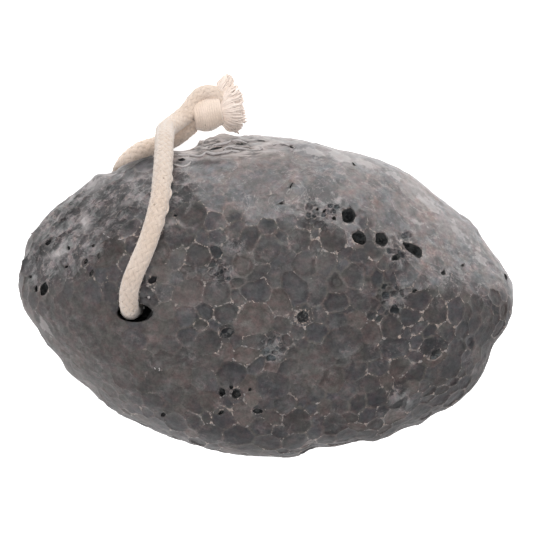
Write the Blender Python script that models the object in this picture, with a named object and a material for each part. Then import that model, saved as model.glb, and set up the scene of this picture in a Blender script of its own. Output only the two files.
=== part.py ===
"""Pumice foot stone with a knotted cotton cord through its drilled hole.

The stone lies on its broad back. X runs along its length, Y across it, and Z is up.
"""

import math
import random

import bmesh
import bpy
import numpy as np
from mathutils import Vector
from mathutils.noise import noise

MM = 0.001  # every size below is in millimetres

# Stone: overall form
TOP_RISE = 23.5  # from the widest level up to the highest point
BACK_DROP = 18.5  # from the widest level down to the flat resting face
BACK_ROUND = 2.0  # how far the rounded back would bulge past the resting face
ROUNDNESS = 2.5  # exponent of the cross-section: 2 is an ellipse, more is boxier
FACET_BLEND = 16.0  # how crisply the worn facets meet: more is crisper
LUMP_SHARE = 0.045  # height of the long lumps, as a share of the distance from the middle
LUMP_SIZE = 15.0

# Outline of the widest level, seen from above, as x and y
OUTLINE = (
    (50.3, 0.0), (49.9, 3.4), (48.9, 5.0), (47.9, 6.6), (44.7, 11.0), (43.7, 12.4), (43.1, 13.9),
    (41.7, 15.2), (38.9, 17.2), (33.9, 21.2), (29.5, 24.7), (24.4, 27.1),
    (19.4, 28.7), (14.5, 29.7), (10.1, 31.0), (5.6, 31.9), (1.1, 32.1), (-6.5, 32.7), (-10.6, 32.3),
    (-12.9, 31.2), (-15.1, 29.6), (-18.9, 29.5), (-23.5, 28.2), (-28.2, 26.6), (-31.9, 24.8), (-33.8, 24.7),
    (-35.1, 23.7), (-40.2, 19.6), (-43.1, 17.3), (-45.4, 14.8), (-47.8, 11.9), (-48.7, 10.2), (-48.8, 8.6),
    (-49.9, 1.7), (-48.2, -3.4), (-46.1, -6.5), (-44.6, -9.3), (-41.1, -13.3), (-40.4, -14.7),
    (-35.6, -18.9), (-31.5, -22.9), (-26.4, -25.5), (-21.6, -27.7), (-16.9, -29.4), (-12.4, -30.7), (-7.9, -31.7),
    (-3.4, -32.3), (1.1, -32.6), (5.8, -32.7), (10.0, -30.9), (14.8, -30.4), (18.2, -29.5), (19.6, -29.3),
    (21.3, -29.5), (25.4, -28.3), (28.6, -26.7), (31.2, -26.1), (34.6, -23.8), (36.8, -22.9), (42.1, -18.7),
    (45.2, -13.0), (46.2, -9.9), (48.5, -6.8),
)

# Worn facets: outward direction, and distance from the middle of the widest level
FACETS = (
    ((0.02, -0.23, 0.973), 21.3),  # broad face
    ((-0.06, 0.74, 0.67), 27.2),  # upper flank
    ((0.52, 0.57, 0.636), 30.6),  # right shoulder
    ((-0.62, 0.45, 0.643), 34.5),  # left shoulder
    ((-0.50, -0.62, 0.604), 34.5),  # lower left flank
    ((0.58, -0.52, 0.627), 36.5),  # lower right flank
    ((-0.42, 0.14, -0.897), 22.4),  # back, at the cord's end
    ((0.42, -0.30, -0.856), 25.5),  # back, at the far end
)

# How finely the form is worked out
OUTLINE_STEPS = 360  # round the outline
WIDEST_RISE = 0.6  # the widest level lies between this rise and as far below
RISE_STEPS = 24
AIM_REACH = (60.0, 40.0)  # a little over half the stone's length and width
AIM_RISE = 0.7  # first guess of a direction's rise, when a spot on top is sought
AIM_LEAST = 0.02  # least square of that rise
AIM_TURNS = 40

# Cells: burst gas bubbles, as flat-floored pits between thin walls
CELL_SEED = 3
CELL_SIZES = ((3.7, 60), (3.2, 260), (2.6, 1600), (2.1, 9000))  # radius, and how many places are tried
CELL_PACKING = 0.86  # how close two cells' middles may come, as a share of their radii together
WALL_SHARE = 0.20  # of a cell's radius, from its edge to the foot of its wall
CELL_DEPTH = 0.75
TURN_MARGIN = 0.01  # radians, past which an edge of the net of cells is turned
# Open pits, seen from above: x, y, radius and depth
OPEN_PITS = (
    (16.7, 16.2, 1.6, 3.0), (18.7, 12.0, 1.5, 3.0), (23.2, 11.5, 1.6, 3.0), (30.0, 9.4, 1.9, 2.4),
    (7.1, 14.6, 1.7, 1.6), (-44.7, 1.6, 1.2, 2.2), (-8.6, -19.1, 1.0, 2.0), (-5.9, -19.6, 1.1, 2.2),
    (-8.9, -23.2, 0.9, 1.6), (-1.6, -22.9, 1.0, 1.6), (7.1, -4.0, 1.7, 1.5), (34.0, -10.8, 2.8, 1.4),
    (26.7, -12.9, 2.3, 1.3), (-7.7, -7.2, 1.4, 1.2),
)

# Drilled hole for the cord, straight down through the stone
HOLE_X = -26.6
HOLE_Y = -1.8
HOLE_RADIUS = 3.9
HOLE_SIDES = 20
DRILL_LENGTH = 80.0

# Cotton cord: the two strands, each along its points from the middle of the hole to the knot
CORD_DIAMETER = 3.8
CORD_JOIN_GAP = 0.3
CORD_STEP = 3.8  # between the tube's rings
CORD_BEVEL = 2  # roundness of the tube
ROUTE_PARTS = 12  # curve steps between two points of a route
FRONT_ROUTE = (
    (-26.8, -2.7, 21.0), (-26.8, -2.7, 25.0), (-26.9, -2.8, 30.0), (-27.0, -2.8, 34.4), (-27.1, -2.2, 37.5),
    (-27.2, -0.6, 40.0), (-26.9, 1.8, 41.7), (-25.9, 4.7, 42.3), (-24.5, 7.9, 42.2), (-23.2, 11.2, 41.5),
    (-22.0, 15.3, 39.9), (-21.1, 19.3, 37.5), (-20.8, 22.6, 34.7), (-20.6, 25.6, 31.5), (-20.5, 28.4, 27.6),
    (-20.5, 30.8, 23.2), (-20.5, 32.5, 18.2), (-20.5, 33.5, 12.9), (-20.2, 33.9, 9.9), (-19.3, 34.8, 7.6),
    (-17.6, 36.1, 5.9), (-16.2, 37.2, 5.2),
)
BACK_ROUTE = (
    (-26.8, -2.7, 20.7), (-26.8, -2.7, 17.0), (-26.8, -2.8, 13.0), (-26.9, -2.8, 9.7), (-27.0, -2.2, 6.8),
    (-27.2, -0.6, 4.3), (-27.5, 1.9, 2.7), (-28.0, 4.9, 2.1), (-28.8, 8.4, 2.1), (-29.6, 13.0, 2.1),
    (-30.2, 18.0, 2.1), (-30.4, 22.4, 2.1), (-29.1, 26.7, 2.1), (-26.0, 29.5, 2.1), (-22.2, 30.9, 2.1),
    (-18.6, 32.5, 2.1), (-15.5, 35.0, 2.1),
)

# Overhand knot: a bulb, and tubes as x, y, z and radius. The strands run on into the first two tubes.
KNOT_MIDDLE = (-11.3, 37.3, 4.1)
KNOT_RADII = (3.2, 4.0, 4.0)
UPPER_LOOP = ((-13.4, 40.4, 4.7, 1.9), (-11.2, 41.3, 4.5, 1.9), (-9.2, 39.8, 4.4, 1.8))
LOWER_TURN = ((-12.2, 36.4, 3.0, 1.9),)
FRAYED_ENDS = (
    ((-10.4, 39.0, 4.4, 1.7), (-8.2, 40.4, 4.0, 1.9), (-5.6, 41.8, 3.2, 2.8)),
    ((-10.4, 36.4, 3.8, 1.7), (-8.0, 35.4, 3.2, 1.9), (-5.2, 34.6, 2.8, 2.5)),
)
KNOT_SIDES = 10
KNOT_LEAD = 1.0  # straight run of a strand into the knot
BULB_SPLITS = 3

# Finishes: colour and roughness
PUMICE = ((0.085, 0.08, 0.082), 0.85)
COTTON = ((0.78, 0.68, 0.57), 0.9)


def clear_scene():
    for item in list(bpy.data.objects):
        bpy.data.objects.remove(item, do_unlink=True)


def material(name, color, roughness):
    made = bpy.data.materials.new(name)
    made.use_nodes = True
    shader = made.node_tree.nodes["Principled BSDF"]
    shader.inputs["Base Color"].default_value = (*color, 1.0)
    shader.inputs["Roughness"].default_value = roughness
    shader.inputs["Metallic"].default_value = 0.0
    made.diffuse_color = (*color, 1.0)
    return made


def place(name, data, finish):
    item = bpy.data.objects.new(name, data)
    data.materials.append(finish)
    bpy.context.collection.objects.link(item)
    return item


def centred(points):
    """The points, moved level so that their box stands centred over the origin."""
    low = [min(point[axis] for point in points) for axis in range(2)]
    high = [max(point[axis] for point in points) for axis in range(2)]
    middle = Vector(((low[0] + high[0]) / 2, (low[1] + high[1]) / 2, 0.0))
    return [point - middle for point in points]


def mesh_object(name, points, faces, finish):
    """A closed mesh from points in millimetres, with its faces turned outwards."""
    data = bpy.data.meshes.new(name)
    data.from_pydata([Vector(point) * MM for point in points], [], faces)
    shape = bmesh.new()
    shape.from_mesh(data)
    bmesh.ops.recalc_face_normals(shape, faces=shape.faces)
    shape.to_mesh(data)
    shape.free()
    return place(name, data, finish)


class Form:
    """The stone's smooth outer form, before its cells are sunk into it."""

    def __init__(self):
        angles = np.array([math.atan2(y, x) for x, y in OUTLINE])
        radii = np.array([math.hypot(x, y) for x, y in OUTLINE])
        order = np.argsort(angles)
        turns = np.concatenate([angles[order] + turn for turn in (-math.tau, 0.0, math.tau)])
        radii = np.tile(radii[order], 3)
        self.angles = np.linspace(-math.pi, math.pi, OUTLINE_STEPS + 1)
        self.radii = self.smooth_curve(self.angles, turns, radii)
        # The outline is drawn at the widest level, so what the facets take off there is given back.
        rises = np.linspace(-WIDEST_RISE, WIDEST_RISE, RISE_STEPS + 1)
        self.spread = np.array([self.spread_at(*pair, rises) for pair in zip(self.angles, self.radii)])

    @staticmethod
    def smooth_curve(wanted, places, values):
        """Values between the places, on a curve that turns smoothly through them."""
        slopes = np.gradient(values, places)
        i = np.clip(np.searchsorted(places, wanted) - 1, 0, len(places) - 2)
        span = places[i + 1] - places[i]
        t = (wanted - places[i]) / span
        return (
            (2 * t**3 - 3 * t**2 + 1) * values[i] + (t**3 - 2 * t**2 + t) * span * slopes[i]
            + (3 * t**2 - 2 * t**3) * values[i + 1] + (t**3 - t**2) * span * slopes[i + 1]
        )

    @staticmethod
    def worn(radius, angle, rise):
        """The point towards an angle and a rise from -1 to 1, on the ellipsoid cut by the facets."""
        across = math.sqrt(max(0.0, 1 - rise * rise))
        height = TOP_RISE if rise > 0 else BACK_DROP + BACK_ROUND
        spot = Vector((radius * across * math.cos(angle), radius * across * math.sin(angle), height * rise))
        total = (across**ROUNDNESS + abs(rise) ** ROUNDNESS) ** (FACET_BLEND / ROUNDNESS)
        for direction, distance in FACETS:
            total += max(0.0, spot.dot(Vector(direction)) / distance) ** FACET_BLEND
        return spot * total ** (-1 / FACET_BLEND)

    def spread_at(self, angle, radius, rises):
        return radius / max(self.worn(radius, angle, rise).xy.length for rise in rises)

    def point(self, direction):
        """The point of the form towards a unit direction."""
        angle = math.atan2(direction.y, direction.x)
        radius = float(np.interp(angle, self.angles, self.radii))
        spread = float(np.interp(angle, self.angles, self.spread))
        spot = self.worn(radius, angle, direction.z)
        lump = 1 + LUMP_SHARE * noise(spot / LUMP_SIZE) * abs(direction.z)
        spot = Vector((spot.x * spread, spot.y * spread, spot.z)) * lump
        return Vector((spot.x, spot.y, max(spot.z + BACK_DROP, 0.0)))

    def towards(self, x, y):
        """The direction whose point on the upper side stands at x and y."""
        long, wide = AIM_REACH
        direction = Vector((x / long, y / wide, AIM_RISE)).normalized()
        for _ in range(AIM_TURNS):
            spot = self.point(direction)
            direction += Vector(((x - spot.x) / long, (y - spot.y) / wide, 0))
            direction.z = math.sqrt(max(AIM_LEAST, 1 - direction.x**2 - direction.y**2))
            direction.normalize()
        return direction


class Cells:
    """A net of many-sided cells over the whole form: shared corners, and the corners of each cell."""

    def __init__(self, form):
        self.form = form
        self.middles, self.spots, self.radii, self.depths = [], [], [], []
        for x, y, radius, depth in OPEN_PITS:
            self.add(form.towards(x, y), radius, depth)
        chance = random.Random(CELL_SEED)
        for radius, tries in CELL_SIZES:
            for _ in range(tries):
                direction = Vector([chance.gauss(0, 1) for _ in range(3)]).normalized()
                if self.has_room(form.point(direction), radius):
                    self.add(direction, radius, CELL_DEPTH)
        self.net()

    def add(self, direction, radius, depth):
        self.middles.append(direction)
        self.spots.append(self.form.point(direction))
        self.radii.append(radius)
        self.depths.append(depth)

    def has_room(self, spot, radius):
        return all(
            (spot - other).length > CELL_PACKING * (radius + reach)
            for other, reach in zip(self.spots, self.radii)
        )

    def net(self):
        """Joins neighbouring middles by triangles, and puts a corner of three cells in each."""
        web = bmesh.new()
        for middle in self.middles:
            web.verts.new(middle)
        bmesh.ops.convex_hull(web, input=web.verts)
        web.verts.index_update()
        while self.turn_long_edges(web):
            pass
        web.faces.index_update()
        self.corners = centred([self.corner(face) for face in web.faces])
        self.rings = []
        for vert in web.verts:
            loop = start = vert.link_loops[0]
            ring = []
            while not ring or loop is not start:
                ring.append(loop.face.index)
                loop = loop.link_loop_prev.link_loop_radial_next
            self.rings.append(ring)
        web.free()

    def corner(self, face):
        """A point between three middles, nearer to those of smaller cells."""
        total = Vector((0, 0, 0))
        for vert in face.verts:
            total += self.middles[vert.index] / self.radii[vert.index]
        return self.form.point(total.normalized())

    def turn_long_edges(self, web):
        """Turns each edge that the two corners facing it see under more than half a turn in all."""
        turned = False
        for edge in list(web.edges):
            ends = [self.spots[vert.index] for vert in edge.verts]
            angle = 0.0
            for face in edge.link_faces:
                far = next(vert for vert in face.verts if vert not in edge.verts)
                sides = [end - self.spots[far.index] for end in ends]
                angle += sides[0].angle(sides[1])
            if angle > math.pi + TURN_MARGIN and bmesh.utils.edge_rotate(edge, True):
                turned = True
        return turned

    def normal(self, ring):
        """Outward direction of a cell, from its corners taken in order."""
        points = [self.corners[i] for i in ring]
        total = Vector((0, 0, 0))
        for point, after in zip(points, points[1:] + points[:1]):
            total += (point - points[0]).cross(after - points[0])
        middle = sum(points, Vector((0, 0, 0))) / len(points)
        outward = middle - Vector((0, 0, BACK_DROP))
        return total.normalized() if total.dot(outward) > 0 else -total.normalized()


def stone_mesh(cells):
    """Sinks each cell's floor under its walls. Cells of the resting face stay flat."""
    points = list(cells.corners)
    faces = []
    for ring, radius, depth in zip(cells.rings, cells.radii, cells.depths):
        rim = [cells.corners[i] for i in ring]
        if max(point.z for point in rim) <= 0.0:
            faces.append(ring)
            continue
        middle = sum(rim, Vector((0, 0, 0))) / len(rim)
        sink = cells.normal(ring) * depth
        floor = range(len(points), len(points) + len(ring))
        points += [point.lerp(middle, WALL_SHARE) - sink for point in rim]
        faces.append(tuple(floor))
        for k in range(len(ring)):
            after = (k + 1) % len(ring)
            faces.append((ring[k], ring[after], floor[after], floor[k]))
    return points, faces


def drill(item):
    """Cuts the cord's hole through a piece."""
    bpy.ops.mesh.primitive_cylinder_add(
        vertices=HOLE_SIDES, radius=HOLE_RADIUS * MM, depth=DRILL_LENGTH * MM,
        location=(HOLE_X * MM, HOLE_Y * MM, BACK_DROP * MM),
    )
    cutter = bpy.context.active_object
    cutter.name = "drill"
    cutter.hide_render = True
    cutter.display_type = "WIRE"
    cut = item.modifiers.new("cord_hole", "BOOLEAN")
    cut.operation = "DIFFERENCE"
    cut.solver = "EXACT"
    cut.object = cutter


def smooth_route(route, step):
    """Evenly spaced points on a smooth curve through a route's points."""
    knots = [Vector(point) for point in route]
    knots = [2 * knots[0] - knots[1]] + knots + [2 * knots[-1] - knots[-2]]
    fine = []
    for before, start, end, after in zip(knots, knots[1:], knots[2:], knots[3:]):
        for k in range(ROUTE_PARTS):
            t = k / ROUTE_PARTS
            fine.append(0.5 * (
                2 * start + (end - before) * t + (2 * before - 5 * start + 4 * end - after) * t**2
                + (3 * start - before - 3 * end + after) * t**3
            ))
    fine.append(knots[-2])
    lengths = np.cumsum([0.0] + [(b - a).length for a, b in zip(fine, fine[1:])])
    stations = np.linspace(0, lengths[-1], max(2, round(lengths[-1] / step)) + 1)
    columns = [np.interp(stations, lengths, [point[axis] for point in fine]) for axis in range(3)]
    return [Vector(row) for row in zip(*columns)]


def cord_tube(name, route, finish):
    """A strand of the cord, as a round tube with closed ends."""
    curve = bpy.data.curves.new(name, "CURVE")
    curve.dimensions = "3D"
    curve.bevel_depth = CORD_DIAMETER / 2 * MM
    curve.bevel_resolution = CORD_BEVEL
    curve.render_resolution_u = 0
    curve.use_fill_caps = True
    points = smooth_route(route, CORD_STEP)
    spline = curve.splines.new("POLY")
    spline.points.add(len(points) - 1)
    for slot, point in zip(spline.points, points):
        slot.co = (*(point * MM), 1.0)
    return place(name, curve, finish)


def swept_mesh(stations):
    """A round tube through stations of x, y, z and radius, with closed ends."""
    spots = [Vector(station[:3]) for station in stations]
    points, faces = [], []
    for k, (spot, station) in enumerate(zip(spots, stations)):
        along = (spots[min(k + 1, len(spots) - 1)] - spots[max(k - 1, 0)]).normalized()
        side = along.cross(Vector((0, 0, 1))).normalized()
        up = side.cross(along)
        for turn in range(KNOT_SIDES):
            angle = math.tau * turn / KNOT_SIDES
            points.append(spot + station[3] * (math.cos(angle) * side + math.sin(angle) * up))
    for k in range(len(spots) - 1):
        for turn in range(KNOT_SIDES):
            a = k * KNOT_SIDES + turn
            b = k * KNOT_SIDES + (turn + 1) % KNOT_SIDES
            faces.append((a, b, b + KNOT_SIDES, a + KNOT_SIDES))
    faces.append(tuple(range(KNOT_SIDES)))
    faces.append(tuple(range(len(points) - KNOT_SIDES, len(points))))
    return points, faces


def entry(route):
    """The two stations where a strand runs on into the knot, past the gap that parts them."""
    before, end = smooth_route(route, CORD_STEP)[-2:]
    along = (end - before).normalized()
    starts = (end + along * CORD_JOIN_GAP, end + along * (CORD_JOIN_GAP + KNOT_LEAD))
    return tuple((*start, CORD_DIAMETER / 2) for start in starts)


def knot(name, finish):
    """The overhand knot: a bulb of wound cord, joined to its upper loop and the two frayed ends."""
    bulb = bmesh.new()
    bmesh.ops.create_icosphere(bulb, subdivisions=BULB_SPLITS, radius=1.0)
    points = [
        Vector([middle + radius * x for middle, radius, x in zip(KNOT_MIDDLE, KNOT_RADII, vert.co)])
        for vert in bulb.verts
    ]
    faces = [tuple(vert.index for vert in face.verts) for face in bulb.faces]
    bulb.free()
    item = mesh_object(name, points, faces, finish)
    limbs = (entry(FRONT_ROUTE) + UPPER_LOOP, entry(BACK_ROUTE) + LOWER_TURN, *FRAYED_ENDS)
    for k, stations in enumerate(limbs):
        limb = mesh_object(f"{name}_limb_{k}", *swept_mesh(stations), finish)
        limb.hide_render = True
        limb.display_type = "WIRE"
        join = item.modifiers.new(f"limb_{k}", "BOOLEAN")
        join.operation = "UNION"
        join.solver = "EXACT"
        join.object = limb
    return item


def build():
    clear_scene()
    cells = Cells(Form())
    cotton = material("cotton", *COTTON)
    stone = mesh_object("stone", *stone_mesh(cells), material("pumice", *PUMICE))
    drill(stone)
    cord_tube("cord_front", FRONT_ROUTE, cotton)
    cord_tube("cord_back", BACK_ROUTE, cotton)
    knot("cord_knot", cotton)


if __name__ == "__main__":
    build()
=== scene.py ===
"""Looks of a pumice foot stone on a knotted cotton cord.

The shape code counts in millimetres. Properties and finished meshes are in metres.
"""

import math
import random

import bmesh
import bpy
import numpy as np
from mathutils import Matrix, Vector
from mathutils.noise import noise


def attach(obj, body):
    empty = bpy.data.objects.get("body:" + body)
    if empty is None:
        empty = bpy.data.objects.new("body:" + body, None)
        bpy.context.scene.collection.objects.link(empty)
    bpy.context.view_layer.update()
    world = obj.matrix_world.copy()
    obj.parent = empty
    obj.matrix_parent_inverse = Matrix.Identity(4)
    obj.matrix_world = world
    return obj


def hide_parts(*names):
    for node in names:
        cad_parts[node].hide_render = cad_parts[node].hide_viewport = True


bl_info = {
    "name": "Pumice foot stone",
    "version": (1, 0, 0),
    "blender": (4, 5, 0),
    "location": "3D View > Sidebar > Foot stone",
    "description": "Makes a vesicular lava foot stone on a knotted cotton cord, and lights it",
    "category": "Add Mesh",
}

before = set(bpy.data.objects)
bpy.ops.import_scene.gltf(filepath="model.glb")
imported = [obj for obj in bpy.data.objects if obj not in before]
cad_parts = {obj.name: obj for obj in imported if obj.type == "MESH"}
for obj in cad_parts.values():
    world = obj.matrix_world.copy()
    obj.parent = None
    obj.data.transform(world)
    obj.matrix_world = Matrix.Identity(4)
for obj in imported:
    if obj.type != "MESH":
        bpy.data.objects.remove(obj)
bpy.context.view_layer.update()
MM = 0.001

# Stone: overall form, as in the solid
TOP_RISE = 23.5
BACK_DROP = 18.5
BACK_ROUND = 2.0
ROUNDNESS = 2.5
FACET_BLEND = 16.0
LUMP_SHARE = 0.045
LUMP_SIZE = 15.0
OUTLINE = (
    (50.3, 0.0), (49.9, 3.4), (48.9, 5.0), (47.9, 6.6), (44.7, 11.0), (43.7, 12.4), (43.1, 13.9),
    (41.7, 15.2), (38.9, 17.2), (33.9, 21.2), (29.5, 24.7), (24.4, 27.1),
    (19.4, 28.7), (14.5, 29.7), (10.1, 31.0), (5.6, 31.9), (1.1, 32.1), (-6.5, 32.7), (-10.6, 32.3),
    (-12.9, 31.2), (-15.1, 29.6), (-18.9, 29.5), (-23.5, 28.2), (-28.2, 26.6), (-31.9, 24.8), (-33.8, 24.7),
    (-35.1, 23.7), (-40.2, 19.6), (-43.1, 17.3), (-45.4, 14.8), (-47.8, 11.9), (-48.7, 10.2), (-48.8, 8.6),
    (-49.9, 1.7), (-48.2, -3.4), (-46.1, -6.5), (-44.6, -9.3), (-41.1, -13.3), (-40.4, -14.7),
    (-35.6, -18.9), (-31.5, -22.9), (-26.4, -25.5), (-21.6, -27.7), (-16.9, -29.4), (-12.4, -30.7),
    (-7.9, -31.7), (-3.4, -32.3), (1.1, -32.6), (5.8, -32.7), (10.0, -30.9), (14.8, -30.4), (18.2, -29.5),
    (19.6, -29.3), (21.3, -29.5), (25.4, -28.3), (28.6, -26.7), (31.2, -26.1), (34.6, -23.8), (36.8, -22.9),
    (42.1, -18.7), (45.2, -13.0), (46.2, -9.9), (48.5, -6.8),
)
FACETS = (
    ((0.02, -0.23, 0.973), 21.3),  # broad face
    ((-0.06, 0.74, 0.67), 27.2),  # upper flank
    ((0.52, 0.57, 0.636), 30.6),  # right shoulder
    ((-0.62, 0.45, 0.643), 34.5),  # left shoulder
    ((-0.50, -0.62, 0.604), 34.5),  # lower left flank
    ((0.58, -0.52, 0.627), 36.5),  # lower right flank
    ((-0.42, 0.14, -0.897), 22.4),  # back, at the cord's end
    ((0.42, -0.30, -0.856), 25.5),  # back, at the far end
)

# Open pits, seen from above: x, y, radius, depth, how far each is drawn out, and the angle of its length
OPEN_PITS = (
    (16.4, 15.8, 1.45, 3.2, 1.05, 80), (18.4, 11.6, 1.4, 3.2, 1.0, 0), (22.9, 11.2, 1.4, 3.0, 1.1, 110),
    (29.3, 9.3, 1.85, 2.8, 1.6, -32), (25.9, 7.7, 0.8, 1.6, 1.25, 20), (-44.4, 1.3, 1.1, 2.6, 1.25, 75),
    (-46.1, 1.4, 0.5, 1.8, 1.5, 85), (-8.7, -19.1, 0.75, 2.0, 1.1, 90), (-5.9, -19.4, 0.95, 2.2, 1.0, 0),
    (-6.9, -18.2, 0.4, 1.2, 1.0, 0), (-3.2, -18.6, 0.35, 1.2, 1.0, 0), (-8.9, -23.2, 0.5, 1.6, 1.3, 30),
    (-1.6, -22.9, 0.75, 1.6, 1.4, 0), (-20.5, -23.7, 0.5, 1.4, 1.1, 30), (48.4, 3.9, 0.5, 1.8, 1.6, 100),
    (5.0, 21.9, 0.36, 1.0, 2.3, 62), (13.5, 15.4, 0.4, 1.0, 1.1, 0), (11.6, 16.9, 0.35, 0.9, 1.3, 40),
    (10.2, 17.2, 0.3, 0.8, 1.0, 0), (3.0, 18.4, 0.3, 0.8, 1.3, 10), (-47.3, 3.8, 0.35, 1.0, 1.0, 0),
    (-34.7, 4.5, 0.6, 0.9, 1.3, 60), (-39.4, 9.5, 0.45, 1.0, 1.4, 120), (-22.4, 3.2, 0.8, 1.0, 1.2, 50),
    (-18.0, 16.0, 0.35, 0.9, 1.2, 0), (-17.0, 27.3, 0.5, 1.0, 1.5, 10), (39.4, 6.1, 0.3, 0.9, 1.2, 30),
    (35.4, 4.6, 0.5, 1.0, 1.2, 60), (-10.1, 29.6, 0.6, 0.8, 2.5, 15), (-5.1, 30.4, 0.62, 0.8, 2.9, -12),
    (-0.9, 31.2, 0.45, 0.7, 3.2, -13), (5.1, 29.9, 0.4, 0.6, 1.6, -25), (17.6, 26.4, 0.3, 0.9, 1.7, -60),
    (29.5, 1.0, 0.45, 0.9, 1.3, 20), (-43.7, 10.6, 0.65, 1.0, 1.3, 35), (-34.3, 10.0, 0.35, 0.8, 1.0, 0),
    (-35.8, 6.9, 0.5, 0.8, 1.3, 60), (-39.8, 5.8, 0.35, 0.8, 1.2, 30), (-33.2, 8.0, 0.45, 0.8, 1.3, 80),
    (-7.7, -7.2, 1.2, 0.7, 1.2, 10), (7.3, -4.1, 1.25, 0.8, 1.1, 80), (33.9, -11.6, 1.2, 0.7, 1.3, 30),
)
# Broad bubbles that stand out: x, y, radius, depth and tone from 0, dark, to 1, pale
BROAD_BUBBLES = (
    (7.3, 14.5, 1.4, 0.35, 0), (21.6, -1.8, 1.1, 0.25, 0.05), (6.7, -11.6, 0.9, 0.25, 0),
    (41.1, -9.3, 1, 0.25, 0.05), (48.2, -3.0, 1.4, 0.25, 0.05), (38.0, -17.2, 0.9, 0.25, 0.1),
    (-14.0, 16.5, 2.6, 0.17, 0.12), (-6.0, 16.0, 1.8, 0.15, 0.2), (-3.2, 11.2, 2, 0.15, 0.25),
    (13.6, 11.3, 2.9, 0.17, 0.1), (-4.5, 6.0, 1.9, 0.2, 0.2), (5.7, 1.7, 3.4, 0.12, 0.35),
    (13.5, 2.2, 1.1, 0.2, 0.1), (17.2, 3.8, 2.6, 0.12, 0.35), (22.0, 3.3, 1.7, 0.15, 0.3),
    (28.6, 4.4, 2.6, 0.25, 0.05), (30.0, -1.2, 2.8, 0.15, 0.4), (34.0, -10.8, 2.8, 0.35, 0.02),
    (26.7, -13.4, 2.4, 0.3, 0.08), (26.3, -10.2, 1.9, 0.2, 0.25), (15.5, -9.0, 3.6, 0.1, 0.4),
    (-7.4, -3.0, 2.2, 0.15, 0.45), (-2.1, -4.2, 3, 0.12, 0.45), (-8.7, 0.7, 2.6, 0.12, 0.4),
    (-30.4, 8.8, 2.7, 0.25, 0.02), (36.4, 2.1, 2.1, 0.15, 0.5), (41.7, -1.2, 1.9, 0.2, 0.1),
    (-13.6, 8.4, 2.4, 0.15, 0.2), (0.6, 9.4, 2.5, 0.1, 0.45), (7.8, 6.3, 2.4, 0.12, 0.4),
    (-18.0, 11.9, 2, 0.2, 0.15), (21.6, 22.6, 1.4, 0.05, 0), (24.3, 21.6, 1.0, 0.05, 0.1),
    (12.1, 19.2, 1.3, 0.05, 0.05), (-3.0, 18.9, 1.1, 0.05, 0), (37.6, 9.2, 1.3, 0.05, 0),
    (34.3, 6.5, 1.8, 0.05, 0), (42.6, 3.0, 2.2, 0.05, 0), (33.0, 12.5, 1.2, 0.05, 0.05),
    (-12.5, 21.5, 1.5, 0.05, 0.1),
)
# Crumbs: spots where small bubbles crowd together, as x, y and reach
CRUMB_SPOTS = (
    (-8.9, 4.6, 2.6), (11.0, 16.6, 2.6), (24.1, -0.6, 2.8), (1.9, -10.2, 2.2), (27.6, 9.4, 1.8),
)

# Places rubbed smooth, where hardly a wall shows: x, y and reach
RUBBED = (
    (-40.0, -9.0, 11.0), (-31.0, -14.0, 9.0), (-17.0, -16.0, 7.0), (-21.0, -5.0, 4.0), (9.0, -14.5, 5.0),
)
# Places on the upper flanks that the clear skin and its painted sheen leave bare: x, y and reach
BARE = (
    (-17.4, 22.3, 3.2), (-16.8, 18.6, 3.0), (-31.5, 17.5, 5.0), (-31.0, 21.5, 3.0), (-40.0, 12.0, 6.0),
    (-25.0, 27.4, 3.5), (20.5, 10.3, 2.8), (26.0, 7.8, 2.8), (20.2, 14.4, 1.4), (-14.2, 16.8, 2.4),
    (-5.5, 15.0, 1.6), (9.5, 13.6, 1.6),
)
# Dark stains, and painted shade: a contact shadow under the back strand, shade under the rim's folds and
# below the hole, and a darker lower right side. Each is x, y, radius, how far each is drawn out, the angle of
# its length, and strength
STAINS_AND_SHADE = (
    (-23.6, -6.8, 1.2, 1.3, 20, 0.25), (-25.2, 27.2, 2.4, 2.4, 24, 0.8), (-17.3, 26.9, 1.0, 1.3, 5, 0.5),
    (-10.8, 27.0, 1.8, 2.6, 4, 0.5), (-39.5, 17.0, 2.6, 1.4, 45, 0.4), (46.5, -7.0, 7.0, 1.5, 75, 0.32),
    (38.0, -18.0, 9.0, 1.5, 45, 0.32), (22.0, -28.0, 8.0, 1.8, 15, 0.32), (0.0, -31.0, 7.0, 2.2, 0, 0.26),
    (-45.5, 9.0, 2.4, 1.5, 60, 0.4), (-30.5, 8.8, 3.0, 1.1, 0, 0.34), (-38.0, 17.2, 2.2, 1.3, 45, 0.3),
    (-30.0, 14.5, 7.0, 1.3, 60, 0.3), (-8.0, 22.0, 9.0, 1.4, 0, 0.12), (10.0, 23.0, 8.0, 1.3, -15, 0.1),
    (1.5, 26.6, 2.6, 1.4, 0, 0.2), (21.8, 23.0, 1.6, 1.1, 0, 0.2),
)
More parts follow.
